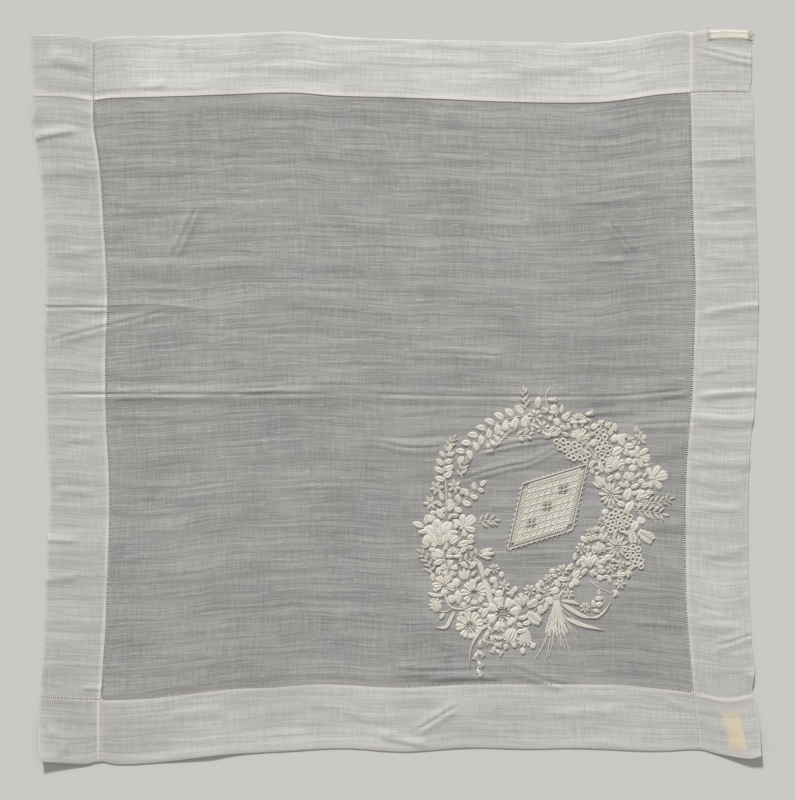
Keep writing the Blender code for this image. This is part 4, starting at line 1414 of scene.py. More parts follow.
class StitchWork:
    """Padded stitches, in millimetres from the wreath's middle, that lie on the cloth."""

    narrow = 0.05
    sunk = 0.12
    roughness = 0.075
    round_s = np.array([-1.0, -0.6, 0.0, 0.6, 1.0])

    def __init__(self, ground: Ground, covered: Covered) -> None:
        """Start with no stitches on the given cloth."""
        self.ground = ground
        self.covered = covered
        self.draft = MeshDraft()
        self.holes: list[Hole] = []
        self.rng = np.random.default_rng(STITCH_SEED)

    def lay(self, x: np.ndarray, y: np.ndarray, over: np.ndarray, threads: Sequence[np.ndarray],
            ring: bool = False) -> None:
        """Add one closed patch of stitches.

        Args:
            x: The patch's places across, by row and column.
            y: The patch's places up.
            over: Its heights over the cloth, with its rim sunk a little into it.
            threads: Its thread places across and along, for the finish.
            ring: True where the last row meets the first.
        """
        x, y, over, first, second = np.broadcast_arrays(x, y, over, *threads)
        rows, cols = x.shape
        z = self.ground.height(x + WREATH_X, y + WREATH_Y) + np.where(over < 1e-3, -self.sunk, over)
        points = np.stack([x + WREATH_X, y + WREATH_Y, z], axis=-1).reshape(-1, 3)
        places = np.stack([first, second], axis=-1).reshape(-1, 2)
        faces = ring_faces(rows, cols) if ring else closed_patch_faces(rows, cols)
        self.draft.add(points, places, faces)
        self.covered.claim(x, y)

    def petal(self, x: float, y: float, turn: float, length: float, width: float, height: float,
              shape: Petal = Petal.LEAF, vein: float = 0.5, ribs: int = 0, bend: float = 0.0,
              notch: float = 0.0, rim: float = 0.0) -> None:
        """Add one padded petal or leaf.

        Args:
            x: Its base's place across.
            y: Its base's place up.
            turn: The direction it points in, in degrees.
            length: Its length.
            width: Its widest width.
            height: Its height over the cloth.
            shape: Its outline.
            vein: How deep the line down its middle is, as a share of its height.
            ribs: How many ridges run from its base to its tip, if any.
            bend: How far it bows to its left.
            notch: How far its tip is drawn in at the middle, as a share of its length.
            rim: How far its middle lies below its raised outer rim, as a share of its height.
        """
        rows = 9 if length > 3.2 else 6
        cols = 4 * ribs + 1 if ribs else (7 if width > 1.3 else 5)
        t = (0.5 - 0.5 * np.cos(np.linspace(0.0, np.pi, rows)))[:, None]
        s = np.linspace(-1.0, 1.0, cols)[None, :]
        wide = np.maximum(petal_width(shape, t), self.narrow) * width / 2
        along = length * t * (1.0 - notch * np.exp(-((s / 0.35) ** 2)) * t**3)
        aside = s * wide + bend * 4.0 * t * (1.0 - t)
        crown = np.maximum(0.0, 1.0 - np.abs(s) ** 2.4) ** 0.6
        crown = crown * np.maximum(0.0, 1.0 - np.abs(2.0 * t - 1.0) ** 5) ** 0.6
        if ribs:
            crown = crown * (0.72 - 0.28 * np.cos(np.pi * ribs * (s + 1.0)))
        crown = crown * (1.0 - vein * np.exp(-((s / 0.2) ** 2)) * np.sqrt(np.sin(np.pi * t)))
        crown = crown * (1.0 - rim * np.exp(-(((t - 0.42) / 0.3) ** 2)))
        crown = crown * (1.0 + self.rng.normal(0.0, self.roughness, crown.shape))
        angle = math.radians(turn)
        px = x + along * math.cos(angle) - aside * math.sin(angle)
        py = y + along * math.sin(angle) + aside * math.cos(angle)
        self.lay(px, py, height * crown, (along + 0.6 * np.abs(aside) + x, aside + y))

    def sweep(self, route: Sequence[tuple[float, float]], widths: Callable[[np.ndarray], np.ndarray],
              height: float, vein: float = 0.0) -> None:
        """Add one raised shape swept along a route.

        Args:
            route: Points of the route, from the wreath's middle.
            widths: Gives the width at each share of the route.
            height: Its height over the cloth.
            vein: How deep the line down its middle is, as a share of its height.
        """
        path = curved(route, 5)
        ahead = np.gradient(path, axis=0)
        ahead /= np.maximum(np.linalg.norm(ahead, axis=1, keepdims=True), 1e-9)
        t = np.linspace(0.0, 1.0, len(path))[:, None]
        s = np.linspace(-1.0, 1.0, 7)[None, :] if vein else self.round_s[None, :]
        wide = np.maximum(widths(t), 0.1) / 2
        crown = np.sqrt(1.0 - np.abs(s) ** 2.2) * (1.0 - vein * np.exp(-((s / 0.25) ** 2)))
        crown = crown * np.minimum(1.0, 0.55 + wide)
        run = np.concatenate([[0.0], np.cumsum(np.linalg.norm(np.diff(path, axis=0), axis=1))])[:, None]
        x, y = path[:, :1] - ahead[:, 1:] * wide * s, path[:, 1:] + ahead[:, :1] * wide * s
        self.lay(x, y, height * crown, (run + 0.6 * np.abs(wide * s), wide * s))

    def cord(self, route: Sequence[tuple[float, float]], width: float, height: float,
             taper: float = 0.4) -> None:
        """Add one raised stem that narrows along its route."""
        self.sweep(route, lambda t: width * (1.0 - (1.0 - taper) * t), height)

    def ring(self, x: float, y: float, radius: float, thick: float, height: float,
             pierce: bool = False) -> None:
        """Add one stitched ring, over a pierced eyelet if asked.

        Args:
            x: Its middle across.
            y: Its middle up.
            radius: The radius of its crest.
            thick: The width of its band.
            height: Its height over the cloth.
            pierce: True to cut the cloth inside it.
        """
        sides = 12 if radius > 1.0 else 9
        angles = (np.arange(sides) * FULL_TURN / sides)[:, None]
        reach = radius + thick / 2 * self.round_s[None, :]
        over = height * np.sqrt(1.0 - self.round_s**2)[None, :]
        threads = (angles * radius, self.round_s[None, :])
        self.lay(x + np.cos(angles) * reach, y + np.sin(angles) * reach, over, threads, ring=True)
        if pierce:
            self.holes.append(Hole(x, y, max(0.0, radius - thick / 2)))


def ring_faces(rows: int, cols: int) -> list[tuple[int, ...]]:
    """Faces of a band that closes on itself, with its underside."""
    faces = []
    for i in range(rows):
        j = (i + 1) % rows
        faces += [(i * cols + k, i * cols + k + 1, j * cols + k + 1, j * cols + k) for k in range(cols - 1)]
        faces.append((i * cols + cols - 1, i * cols, j * cols, j * cols + cols - 1))
    return faces


@dataclass(frozen=True)
class Round:
    """One ring or fan of like petals, with its sizes as shares of the whole flower's."""

    count: int
    foot: float
    length: float
    width: float
    height: float = 1.1
    shape: Petal = Petal.DROP
    spread: float = 360.0
    back: float = 0.0
    vein: float = 0.25
    ribs: int = 0
    notch: float = 0.0
    bow: float = 0.0
    aside: float = 0.0
    rim: float = 0.0

    def stitch(self, work: StitchWork, x: float, y: float, size: float, turn: float) -> None:
        """Add the petals.

        Args:
            work: Where they are stitched.
            x: The flower's middle across.
            y: The flower's middle up.
            size: The flower's width in millimetres.
            turn: The direction that it faces, in degrees.
        """
        x, y = polar(x, y, -self.back * size, turn)
        for i in range(self.count):
            share = 0.0 if self.count == 1 else 2.0 * i / (self.count - 1) - 1.0
            angle = turn + self.aside + share * self.spread / 2
            if self.spread == 360.0:
                share, angle = 0.0, turn + self.aside + i * 360.0 / self.count
            angle += work.rng.normal(0.0, 2.2)
            length = self.length * size * (1.0 + work.rng.normal(0.0, 0.045))
            height = self.height * (1.0 + 0.14 * (1.0 - abs(share)))
            foot_x, foot_y = polar(x, y, self.foot * size, angle)
            work.petal(foot_x, foot_y, angle, length, self.width * size, height, self.shape,
                       self.vein, self.ribs, -share * self.bow * size, self.notch, self.rim)


@dataclass(frozen=True)
class Eye:
    """The pierced eyelets in a flower's middle, with sizes as shares of the flower's."""

    columns: int
    rows: int
    radius: float
    thick: float
    pitch: float = 0.0

    def stitch(self, work: StitchWork, x: float, y: float, size: float) -> None:
        """Add each eyelet's ring and its hole."""
        for column in range(self.columns):
            for row in range(self.rows):
                dx = (column - (self.columns - 1) / 2) * self.pitch * size
                dy = (row - (self.rows - 1) / 2) * self.pitch * size
                work.ring(x + dx, y + dy, self.radius * size, self.thick * size, 0.75, pierce=True)


class Bloom(Enum):
    """The kinds of flower, bud and leaf in the wreath."""

    STAR = "star"
    BLOSSOM = "blossom"
    DAISY = "daisy"
    PANSY = "pansy"
    ANEMONE = "anemone"
    WINDOWED = "windowed"
    ROSE = "rose"
    MAGNOLIA = "magnolia"
    TULIP = "tulip"
    ORCHID = "orchid"
    BELL = "bell"
    BUD = "bud"
    CARNATION = "carnation"
    DOME = "dome"
    LEAF = "leaf"
    BROAD = "broad leaf"
    TOOTHED = "toothed leaf"
    KNOT = "knot"
    POD = "pod"


ROUNDS: dict[Bloom, tuple[Round, ...]] = {
    Bloom.STAR: (Round(6, 0.06, 0.44, 0.25, 1.05, Petal.LEAF, vein=0.5),),
    Bloom.BLOSSOM: (Round(7, 0.08, 0.42, 0.27, 1.0, vein=0.25),),
    Bloom.DAISY: (
        Round(13, 0.14, 0.37, 0.14, 1.15, Petal.LEAF, vein=0.3),
        Round(8, 0.05, 0.17, 0.1, 1.25, vein=0.0),
    ),
    Bloom.PANSY: (
        Round(2, 0.06, 0.44, 0.42, 1.2, Petal.FAN, 82.0, vein=0.1, ribs=3, notch=0.12, aside=0.0),
        Round(2, 0.06, 0.42, 0.4, 1.1, Petal.FAN, 216.0, vein=0.4, notch=0.08),
        Round(1, 0.06, 0.44, 0.5, 1.3, Petal.FAN, vein=0.1, ribs=3, notch=0.18, aside=180.0),
        Round(4, 0.0, 0.14, 0.09, 1.5, vein=0.0),
    ),
    Bloom.ANEMONE: (
        Round(8, 0.14, 0.37, 0.34, 1.3, Petal.FAN, vein=0.1, ribs=2, notch=0.12, rim=0.4),
        Round(12, 0.07, 0.17, 0.08, 1.25, vein=0.0),
    ),
    Bloom.WINDOWED: (
        Round(7, 0.19, 0.34, 0.4, 1.35, Petal.FAN, vein=0.35, notch=0.12, rim=0.35),
        Round(12, 0.14, 0.13, 0.09, 1.5, vein=0.0),
    ),
    Bloom.ROSE: (
        Round(2, 0.0, 0.5, 0.46, 1.05, Petal.FAN, 200.0, vein=0.1, ribs=3),
        Round(3, 0.05, 0.46, 0.4, 1.25, Petal.FAN, 120.0, vein=0.1, ribs=2, notch=0.06),
        Round(2, 0.0, 0.66, 0.28, 1.6, Petal.LEAF, 78.0, 0.34, vein=0.35, bow=0.09),
        Round(1, 0.0, 0.5, 0.3, 1.75, Petal.OVAL, 0.0, 0.2, vein=0.45),
    ),
    Bloom.MAGNOLIA: (
        Round(2, 0.0, 0.66, 0.42, 0.9, Petal.DROP, 116.0, 0.4, vein=0.1, bow=0.1),
        Round(2, 0.0, 0.84, 0.44, 1.1, Petal.DROP, 54.0, 0.42, vein=0.1, ribs=2, bow=0.05),
        Round(1, 0.0, 0.88, 0.4, 1.35, Petal.DROP, 0.0, 0.42, vein=0.3, ribs=2),
    ),
    Bloom.TULIP: (
        Round(2, 0.0, 0.9, 0.36, 1.0, Petal.LEAF, 44.0, 0.46, vein=0.4, bow=-0.07),
        Round(1, 0.0, 0.94, 0.36, 1.3, Petal.LEAF, 0.0, 0.46, vein=0.3),
    ),
    Bloom.ORCHID: (
        Round(1, 0.0, 0.64, 0.48, 0.95, Petal.FAN, 0.0, 0.2, vein=0.1, ribs=3),
        Round(2, 0.0, 0.58, 0.3, 1.3, Petal.DROP, 108.0, 0.16, vein=0.5),
        Round(2, 0.0, 0.44, 0.26, 1.1, Petal.DROP, 214.0, 0.14, vein=0.4),
        Round(1, 0.0, 0.3, 0.16, 1.3, aside=180.0),
    ),
    Bloom.BELL: (
        Round(4, 0.1, 0.42, 0.15, 0.9, Petal.LEAF, 76.0, vein=0.0),
        Round(1, 0.0, 0.66, 0.5, 1.3, Petal.DROP, 0.0, 0.48, vein=0.15),
    ),
    Bloom.BUD: (
        Round(2, 0.0, 0.74, 0.24, 0.85, Petal.LEAF, 62.0, 0.46, vein=0.0, bow=-0.08),
        Round(1, 0.0, 0.94, 0.52, 1.3, Petal.LEAF, 0.0, 0.46, vein=0.45),
    ),
    Bloom.CARNATION: (
        Round(6, 0.16, 0.34, 0.19, 0.9, spread=170.0, vein=0.35),
        Round(1, 0.0, 0.8, 0.76, 1.35, Petal.OVAL, 0.0, 0.46, vein=0.0, ribs=4),
    ),
    Bloom.DOME: (
        Round(9, 0.1, 0.4, 0.15, 1.0, spread=160.0, vein=0.2),
        Round(2, -0.05, 0.56, 0.26, 1.4, Petal.LEAF, 180.0, 0.04, vein=0.0),
    ),
    Bloom.LEAF: (Round(1, 0.0, 1.0, 0.56, 1.15, Petal.LEAF, 0.0, 0.5, vein=0.6),),
    Bloom.BROAD: (Round(1, 0.0, 1.0, 0.72, 1.15, Petal.LEAF, 0.0, 0.5, vein=0.6),),
    Bloom.KNOT: (Round(1, 0.0, 1.0, 0.92, 1.05, Petal.OVAL, 0.0, 0.5, vein=0.4),),
    Bloom.POD: (
        Round(5, 0.34, 0.2, 0.13, 0.85, Petal.LEAF, 90.0, vein=0.0),
        Round(1, 0.0, 0.88, 0.72, 1.0, Petal.FAN, 0.0, 0.48, vein=0.0, ribs=6),
    ),
    Bloom.TOOTHED: tuple(
        Round(2, 0.0, 0.42 * math.sin(math.pi * (0.2 + 0.12 * i)) ** 0.8, 0.22, 1.05, Petal.LEAF, 104.0,
              0.5 - 0.145 * i, vein=0.1)
        for i in range(6)
    ) + (Round(1, 0.0, 1.0, 0.09, 1.2, Petal.BLADE, 0.0, 0.5, vein=0.0),),
}

EYES: dict[Bloom, Eye] = {
    Bloom.STAR: Eye(1, 1, 0.07, 0.055),
    Bloom.BLOSSOM: Eye(1, 1, 0.075, 0.06),
    Bloom.DAISY: Eye(1, 2, 0.05, 0.045, 0.1),
    Bloom.WINDOWED: Eye(2, 3, 0.046, 0.022, 0.088),
}


@dataclass(frozen=True)
class Motif:
    """One flower, bud or leaf, placed from the wreath's middle."""

    bloom: Bloom
    x: float
    y: float
    size: float
    turn: float = 0.0

    def stitch(self, work: StitchWork) -> None:
        """Add every round of petals, and the eyelets of an open flower."""
        for petals in ROUNDS[self.bloom]:
            petals.stitch(work, self.x, self.y, self.size, self.turn)
        if self.bloom in EYES:
            EYES[self.bloom].stitch(work, self.x, self.y, self.size)


@dataclass(frozen=True)
class Grapes:
    """A cluster of stitched rings over uncut cloth, in staggered rows."""

    x: float
    y: float
    ring: float
    turn: float
    rows: tuple[int, ...]

    def stitch(self, work: StitchWork) -> None:
        """Add a ring for each place of each row."""
        for i, count in enumerate(self.rows):
            along = (i - (len(self.rows) - 1) / 2) * self.ring * 0.82
            for j in range(count):
                aside = (j - (count - 1) / 2) * self.ring * 0.95
                x, y = polar(*polar(self.x, self.y, along, self.turn), aside, self.turn + 90.0)
                x, y = x + work.rng.normal(0.0, 0.25), y + work.rng.normal(0.0, 0.25)
                work.ring(x, y, 0.35 * self.ring, 0.3 * self.ring, work.rng.uniform(0.85, 1.15))


@dataclass(frozen=True)
class Sprig:
    """A stem with paired leaves and one at its tip."""

    x0: float
    y0: float
    x1: float
    y1: float
    bow: float
    pairs: int
    leaf: float
    broad: float = 0.6
    splay: float = 50.0

    def at(self, t: float) -> tuple[float, float, float]:
        """A place along the stem and its direction there, in degrees."""
        run_x, run_y = self.x1 - self.x0, self.y1 - self.y0
        length = math.hypot(run_x, run_y)
        bow = self.bow * 4.0 * t * (1.0 - t)
        lean = self.bow * 4.0 * (1.0 - 2.0 * t)
        x = self.x0 + run_x * t - run_y / length * bow
        y = self.y0 + run_y * t + run_x / length * bow
        return x, y, math.degrees(math.atan2(run_y, run_x) + math.atan2(lean, length))

    def stitch(self, work: StitchWork) -> None:
        """Add the stem, the pairs of leaves and the leaf at the tip."""
        work.cord([self.at(t)[:2] for t in (0.0, 0.25, 0.5, 0.75, 0.97)], 0.8, 0.6, 0.6)
        for pair in range(self.pairs):
            for side in (-1, 1):
                t = (pair + (0.3 if side > 0 else 0.6)) / self.pairs
                x, y, heading = self.at(t)
                size = self.leaf * (1.0 - 0.22 * t) * (1.0 + work.rng.normal(0.0, 0.06))
                angle = heading + side * (self.splay + work.rng.normal(0.0, 5.0))
                x, y = polar(x, y, 0.3, angle)
                work.petal(x, y, angle, size, self.broad * size, 1.15, Petal.LEAF, 0.6,
                           bend=0.05 * size * side)
        x, y, heading = self.at(1.0)
        tip = self.leaf * 0.8
        work.petal(x, y, heading, tip, self.broad * tip, 1.1, Petal.LEAF, 0.6)


@dataclass(frozen=True)
class BellRow:
    """Small bells that hang from a thin curved stem, each at a place and in a direction."""

    size: float
    route: tuple[tuple[float, float], ...]
    bells: tuple[tuple[float, float, float], ...]

    def stitch(self, work: StitchWork) -> None:
        """Add the stem and its bells."""
        work.cord(self.route, 0.7, 0.5, 0.6)
        for x, y, turn in self.bells:
            Motif(Bloom.BELL, x, y, self.size, turn).stitch(work)


@dataclass(frozen=True)
class Blade:
    """A long curved grass leaf that swells and tapers along its route."""

    width: float
    route: tuple[tuple[float, float], ...]

    def stitch(self, work: StitchWork) -> None:
        """Add the leaf as one swept shape with a vein."""
        work.sweep(self.route, lambda t: self.width * petal_width(Petal.LEAF, t**0.8), 1.05, 0.45)


@dataclass(frozen=True)
class StemLine:
    """A plain raised stem along a few points."""

    width: float
    route: tuple[tuple[float, float], ...]

    def stitch(self, work: StitchWork) -> None:
        """Add the stem."""
        work.cord(self.route, self.width, 0.6, 0.6)


# Flowers, buds and single leaves of the wreath: its left side, its foot, its right side and its top.
MOTIFS: tuple[Motif, ...] = (
    Motif(Bloom.STAR, -67.8, 20.7, 9.4, 10), Motif(Bloom.STAR, -56.2, 21.7, 9.8, 40),
    Motif(Bloom.STAR, -71.7, 11.0, 9.6, 65), Motif(Bloom.LEAF, -64.6, 15.2, 6.5, 110),
    Motif(Bloom.LEAF, -54.7, 14.8, 4.8, 80), Motif(Bloom.BROAD, -58.5, 8.3, 6.8, 50),
    Motif(Bloom.BROAD, -50.8, 18.7, 5.4, 60), Motif(Bloom.LEAF, -66.4, 10.4, 5.6, 150),
    Motif(Bloom.LEAF, -59.3, 15.8, 4.8, 100), Motif(Bloom.BROAD, -65.4, 3.7, 7.2, 125),
    Motif(Bloom.LEAF, -58.9, 2.2, 4.8, 60), Motif(Bloom.LEAF, -55.0, -3.2, 6.0, 70),
    Motif(Bloom.BROAD, -56.6, -13.2, 7.2, 45), Motif(Bloom.LEAF, -50.0, -15.5, 8.8, 15),
    Motif(Bloom.MAGNOLIA, -66.5, -9.2, 19.5, 100), Motif(Bloom.ORCHID, -49.0, -3.0, 16.0, 35),
    Motif(Bloom.LEAF, -80.0, -3.2, 8.4, 160), Motif(Bloom.LEAF, -74.6, 0.0, 6.8, 80),
    Motif(Bloom.LEAF, -76.9, -7.6, 6.6, 185), Motif(Bloom.BROAD, -67.4, -22.0, 9.4, 155),
    Motif(Bloom.LEAF, -66.5, -27.5, 7.8, 205), Motif(Bloom.DOME, -56.9, -23.2, 11.0, 92),
    Motif(Bloom.TULIP, -34.9, -22.0, 8.6, 5), Motif(Bloom.TULIP, -49.9, -35.5, 8.6, 95),
    Motif(Bloom.PANSY, -59.8, -31.8, 12.0, 120), Motif(Bloom.PANSY, -63.0, -42.0, 15.0, 20),
    Motif(Bloom.LEAF, -49.9, -29.4, 6.6, 320), Motif(Bloom.LEAF, -44.2, -29.2, 6.6, 228),
    Motif(Bloom.LEAF, -43.6, -35.0, 4.6, 40), Motif(Bloom.ANEMONE, -43.6, -47.3, 16.4, 0),
    Motif(Bloom.LEAF, -54.1, -50.3, 9.4, 274), Motif(Bloom.ANEMONE, -46.3, -68.3, 18.2, 12),
    Motif(Bloom.WINDOWED, -24.9, -60.3, 20.5, 4), Motif(Bloom.CARNATION, -68.3, -55.4, 10.0, 125),
    Motif(Bloom.LEAF, -64.4, -62.3, 5.0, 228), Motif(Bloom.LEAF, -36.7, -60.5, 8.4, 240),
    Motif(Bloom.LEAF, -51.5, -61.0, 4.8, 200), Motif(Bloom.BLOSSOM, -30.4, -31.6, 7.2, 0),
    Motif(Bloom.KNOT, -31.0, -39.1, 5.0, 30), Motif(Bloom.KNOT, -25.6, -35.5, 4.4, 80),
    Motif(Bloom.STAR, -24.1, -43.0, 8.0, 20), Motif(Bloom.KNOT, -16.9, -44.9, 4.2, 60),
    Motif(Bloom.ROSE, -12.4, -52.7, 10.4, 100), Motif(Bloom.LEAF, -16.0, -62.9, 5.2, 250),
    Motif(Bloom.CARNATION, -19.3, -75.5, 11.6, 250), Motif(Bloom.BUD, -22.9, -82.7, 4.8, 250),
    Motif(Bloom.POD, -10.5, -75.7, 12.8, 268), Motif(Bloom.KNOT, -11.9, -85.2, 4.4, 90),
    Motif(Bloom.KNOT, -5.3, -81.8, 4.2, 60), Motif(Bloom.KNOT, -17.5, -81.2, 4.2, 120),
    Motif(Bloom.BLOSSOM, -7.4, -45.7, 7.8, 10), Motif(Bloom.KNOT, -2.0, -43.0, 4.2, 70),
    Motif(Bloom.KNOT, -1.7, -49.9, 4.2, 20), Motif(Bloom.BLOSSOM, 4.1, -46.6, 7.4, 30),
    Motif(Bloom.STAR, 4.7, -38.2, 6.8, 5), Motif(Bloom.KNOT, 7.4, -33.4, 4.2, 0),
    Motif(Bloom.BLOSSOM, 14.0, -32.8, 8.0, 20), Motif(Bloom.BUD, 19.1, -30.4, 5.4, 70),
    Motif(Bloom.LEAF, 21.8, -24.0, 5.4, 80), Motif(Bloom.BLOSSOM, 26.0, -18.6, 7.8, 15),
    Motif(Bloom.LEAF, 24.5, -27.7, 5.4, 60), Motif(Bloom.STAR, 31.7, -7.8, 7.0, 40),
    Motif(Bloom.ROSE, 31.4, -27.1, 12.8, 95), Motif(Bloom.ROSE, 37.4, -19.2, 9.4, 100),
    Motif(Bloom.ROSE, 40.7, -11.7, 8.0, 60), Motif(Bloom.DAISY, 49.4, -17.4, 15.4, 0),
    Motif(Bloom.BUD, 39.5, -26.5, 6.8, 200), Motif(Bloom.STAR, 51.5, -28.6, 7.6, 25),
    Motif(Bloom.STAR, 45.5, -31.6, 7.2, 50), Motif(Bloom.BUD, 52.4, -35.5, 7.4, 10),
    Motif(Bloom.STAR, 51.5, -41.5, 7.6, 0), Motif(Bloom.LEAF, 44.3, -38.5, 5.8, 290),
    Motif(Bloom.LEAF, 41.8, -37.0, 4.8, 200), Motif(Bloom.BUD, 48.2, -47.8, 5.4, 240),
    Motif(Bloom.BROAD, 60.9, -3.9, 8.2, 60), Motif(Bloom.TOOTHED, 68.7, -10.8, 12.2, 330),
    Motif(Bloom.TOOTHED, 59.4, -11.4, 9.8, 280), Motif(Bloom.STAR, 17.9, -48.1, 7.8, 35),
    Motif(Bloom.KNOT, 19.7, -42.4, 4.4, 60), Motif(Bloom.BUD, 23.6, -34.9, 8.4, 50),
    Motif(Bloom.LEAF, 14.0, -38.5, 7.0, 0), Motif(Bloom.BROAD, 10.4, -41.5, 6.0, 300),
    Motif(Bloom.BLOSSOM, 28.7, -56.8, 7.2, 10), Motif(Bloom.BROAD, 34.1, -54.4, 5.0, 100),
    Motif(Bloom.BROAD, 38.3, -55.0, 5.6, 20), Motif(Bloom.LEAF, 35.9, -59.2, 5.0, 340),
    Motif(Bloom.LEAF, 37.7, -51.1, 5.8, 190), Motif(Bloom.LEAF, 38.0, -47.3, 4.8, 95),
    Motif(Bloom.TOOTHED, -5.0, -54.1, 8.4, 30), Motif(Bloom.TOOTHED, -4.1, -64.0, 11.6, 325),
    Motif(Bloom.BLOSSOM, -4.0, 67.4, 9.2, 0), Motif(Bloom.BLOSSOM, 1.0, 60.0, 9.2, 20),
    Motif(Bloom.PANSY, -7.9, 61.2, 9.8, 60), Motif(Bloom.LEAF, -2.1, 76.2, 8.6, 90),
    Motif(Bloom.LEAF, 8.6, 55.6, 7.2, 190), Motif(Bloom.LEAF, 15.7, 55.6, 5.4, 150),
    Motif(Bloom.KNOT, 10.3, 63.4, 5.2, 110), Motif(Bloom.BUD, 16.8, 67.2, 7.8, 55),
    Motif(Bloom.DOME, 24.3, 64.0, 11.4, 95), Motif(Bloom.ROSE, 25.7, 53.8, 11.8, 60),
    Motif(Bloom.BELL, 7.4, 78.1, 6.8, 0), Motif(Bloom.BELL, 8.2, 69.9, 7.4, 355),
    Motif(Bloom.BELL, 31.5, 69.2, 6.6, 15), Motif(Bloom.BELL, 31.1, 64.8, 5.4, 335),
    Motif(Bloom.BELL, 30.1, 59.7, 5.2, 340), Motif(Bloom.KNOT, 34.0, 49.8, 5.0, 60),
    Motif(Bloom.BROAD, 52.0, 51.8, 8.4, 290), Motif(Bloom.BUD, 61.9, 58.4, 5.2, 95),
    Motif(Bloom.ORCHID, 64.7, 53.2, 8.6, 20), Motif(Bloom.BROAD, 49.3, 44.3, 8.8, 215),
    Motif(Bloom.LEAF, 57.5, 47.7, 7.6, 190), Motif(Bloom.ROSE, 48.2, 36.1, 12.8, 75),
    Motif(Bloom.ORCHID, 64.6, 40.8, 14.4, 345), Motif(Bloom.KNOT, 56.8, 38.1, 5.0, 20),
    Motif(Bloom.ORCHID, 74.6, 27.4, 17.0, 5), Motif(Bloom.ROSE, 57.5, 27.2, 8.6, 60),
    Motif(Bloom.DAISY, 45.2, 16.9, 15.8, 12), Motif(Bloom.BUD, 37.6, 25.1, 9.8, 118),
    Motif(Bloom.KNOT, 49.6, 28.2, 5.0, 100), Motif(Bloom.BROAD, 56.4, 16.4, 8.6, 75),
    Motif(Bloom.ROSE, 65.0, 14.5, 10.8, 15), Motif(Bloom.BROAD, 57.5, 8.4, 8.6, 60),
    Motif(Bloom.LEAF, 63.6, 29.2, 5.4, 40), Motif(Bloom.LEAF, 61.2, 21.7, 6.2, 20),
    Motif(Bloom.LEAF, 32.8, 36.1, 6.2, 60), Motif(Bloom.LEAF, 39.2, 34.0, 7.6, 100),
    Motif(Bloom.BLOSSOM, 39.7, -0.9, 5.8, 0), Motif(Bloom.KNOT, 41.5, 5.0, 4.8, 40),
    Motif(Bloom.BUD, 39.7, -6.3, 5.6, 60),
)

GRAPES: tuple[Grapes, ...] = (
    Grapes(19.9, 45.6, 4.5, 332, (1, 2, 2, 3, 3, 2, 2)), Grapes(40.0, 49.4, 4.4, 281, (1, 2, 2, 2, 3, 2, 2)),
    Grapes(50.6, -0.4, 4.5, 20, (3, 3, 4, 3, 3)), Grapes(61.6, -24.4, 4.3, 300, (2, 3, 2, 2, 1)),
)

SPRAYS: tuple[Sprig, ...] = (
    Sprig(-7.0, 68.5, -50.5, 41.5, -6.5, 8, 8.3, 0.66, 56.0),
    Sprig(-62.0, 24.0, -60.5, 44.0, 2.0, 4, 7.2, 0.66, 56.0),
    Sprig(-60.5, 43.0, -57.0, 52.5, 0.6, 3, 4.6, 0.4, 40.0),
    Sprig(-52.0, 27.5, -49.0, 38.0, 0.5, 3, 5.2, 0.4, 38.0),
    Sprig(-60.0, 6.0, -39.5, 22.0, -0.6, 4, 6.6, 0.7, 60.0),
    Sprig(-41.0, -1.6, -30.5, -0.2, 0.4, 3, 5.6, 0.34, 46.0),
    Sprig(-71.0, -35.5, -78.0, -21.5, -1.4, 4, 5.0, 0.38, 44.0),
    Sprig(-54.0, -28.5, -39.5, -21.5, -1.0, 4, 5.6, 0.42, 58.0),
    Sprig(61.0, 6.2, 78.5, 3.9, 0.5, 5, 6.4, 0.34, 50.0),
    Sprig(69.0, 11.0, 83.5, 13.6, -0.5, 4, 4.9, 0.34, 48.0),
    Sprig(-9.2, 71.5, -11.3, 83.5, 0.5, 3, 5.0, 0.38, 42.0),
    Sprig(-17.0, 55.0, -8.0, 55.5, -0.6, 2, 5.2, 0.5, 50.0),
    Sprig(38.5, 36.0, 28.0, 48.5, 0.6, 2, 5.6, 0.5, 50.0),
)

BELL_ROWS: tuple[BellRow, ...] = (
    BellRow(7.4, ((-35.5, 50.5), (-30.0, 55.5), (-24.0, 60.5), (-15.0, 64.5)), (
        (-33.9, 46.9, 285), (-31.2, 49.7, 308), (-28.2, 52.6, 312), (-25.2, 55.6, 318), (-21.8, 58.9, 305),
        (-18.4, 60.6, 315),
    )),
    BellRow(6.4, ((-32.5, -69.0), (-37.5, -76.0), (-40.6, -85.0), (-40.8, -98.0)), (
        (-33.2, -71.2, 300), (-35.3, -74.8, 250), (-36.2, -79.0, 310), (-39.6, -80.4, 265),
        (-39.2, -86.9, 320), (-42.2, -88.4, 255), (-40.0, -93.8, 300), (-40.2, -99.0, 300),
    )),
    BellRow(6.6, ((-33.0, -70.0), (-31.5, -76.5), (-29.5, -80.0)), (
        (-31.8, -77.8, 290), (-30.8, -84.2, 250), (-28.2, -81.2, 350), (-27.6, -85.9, 320),
    )),
)

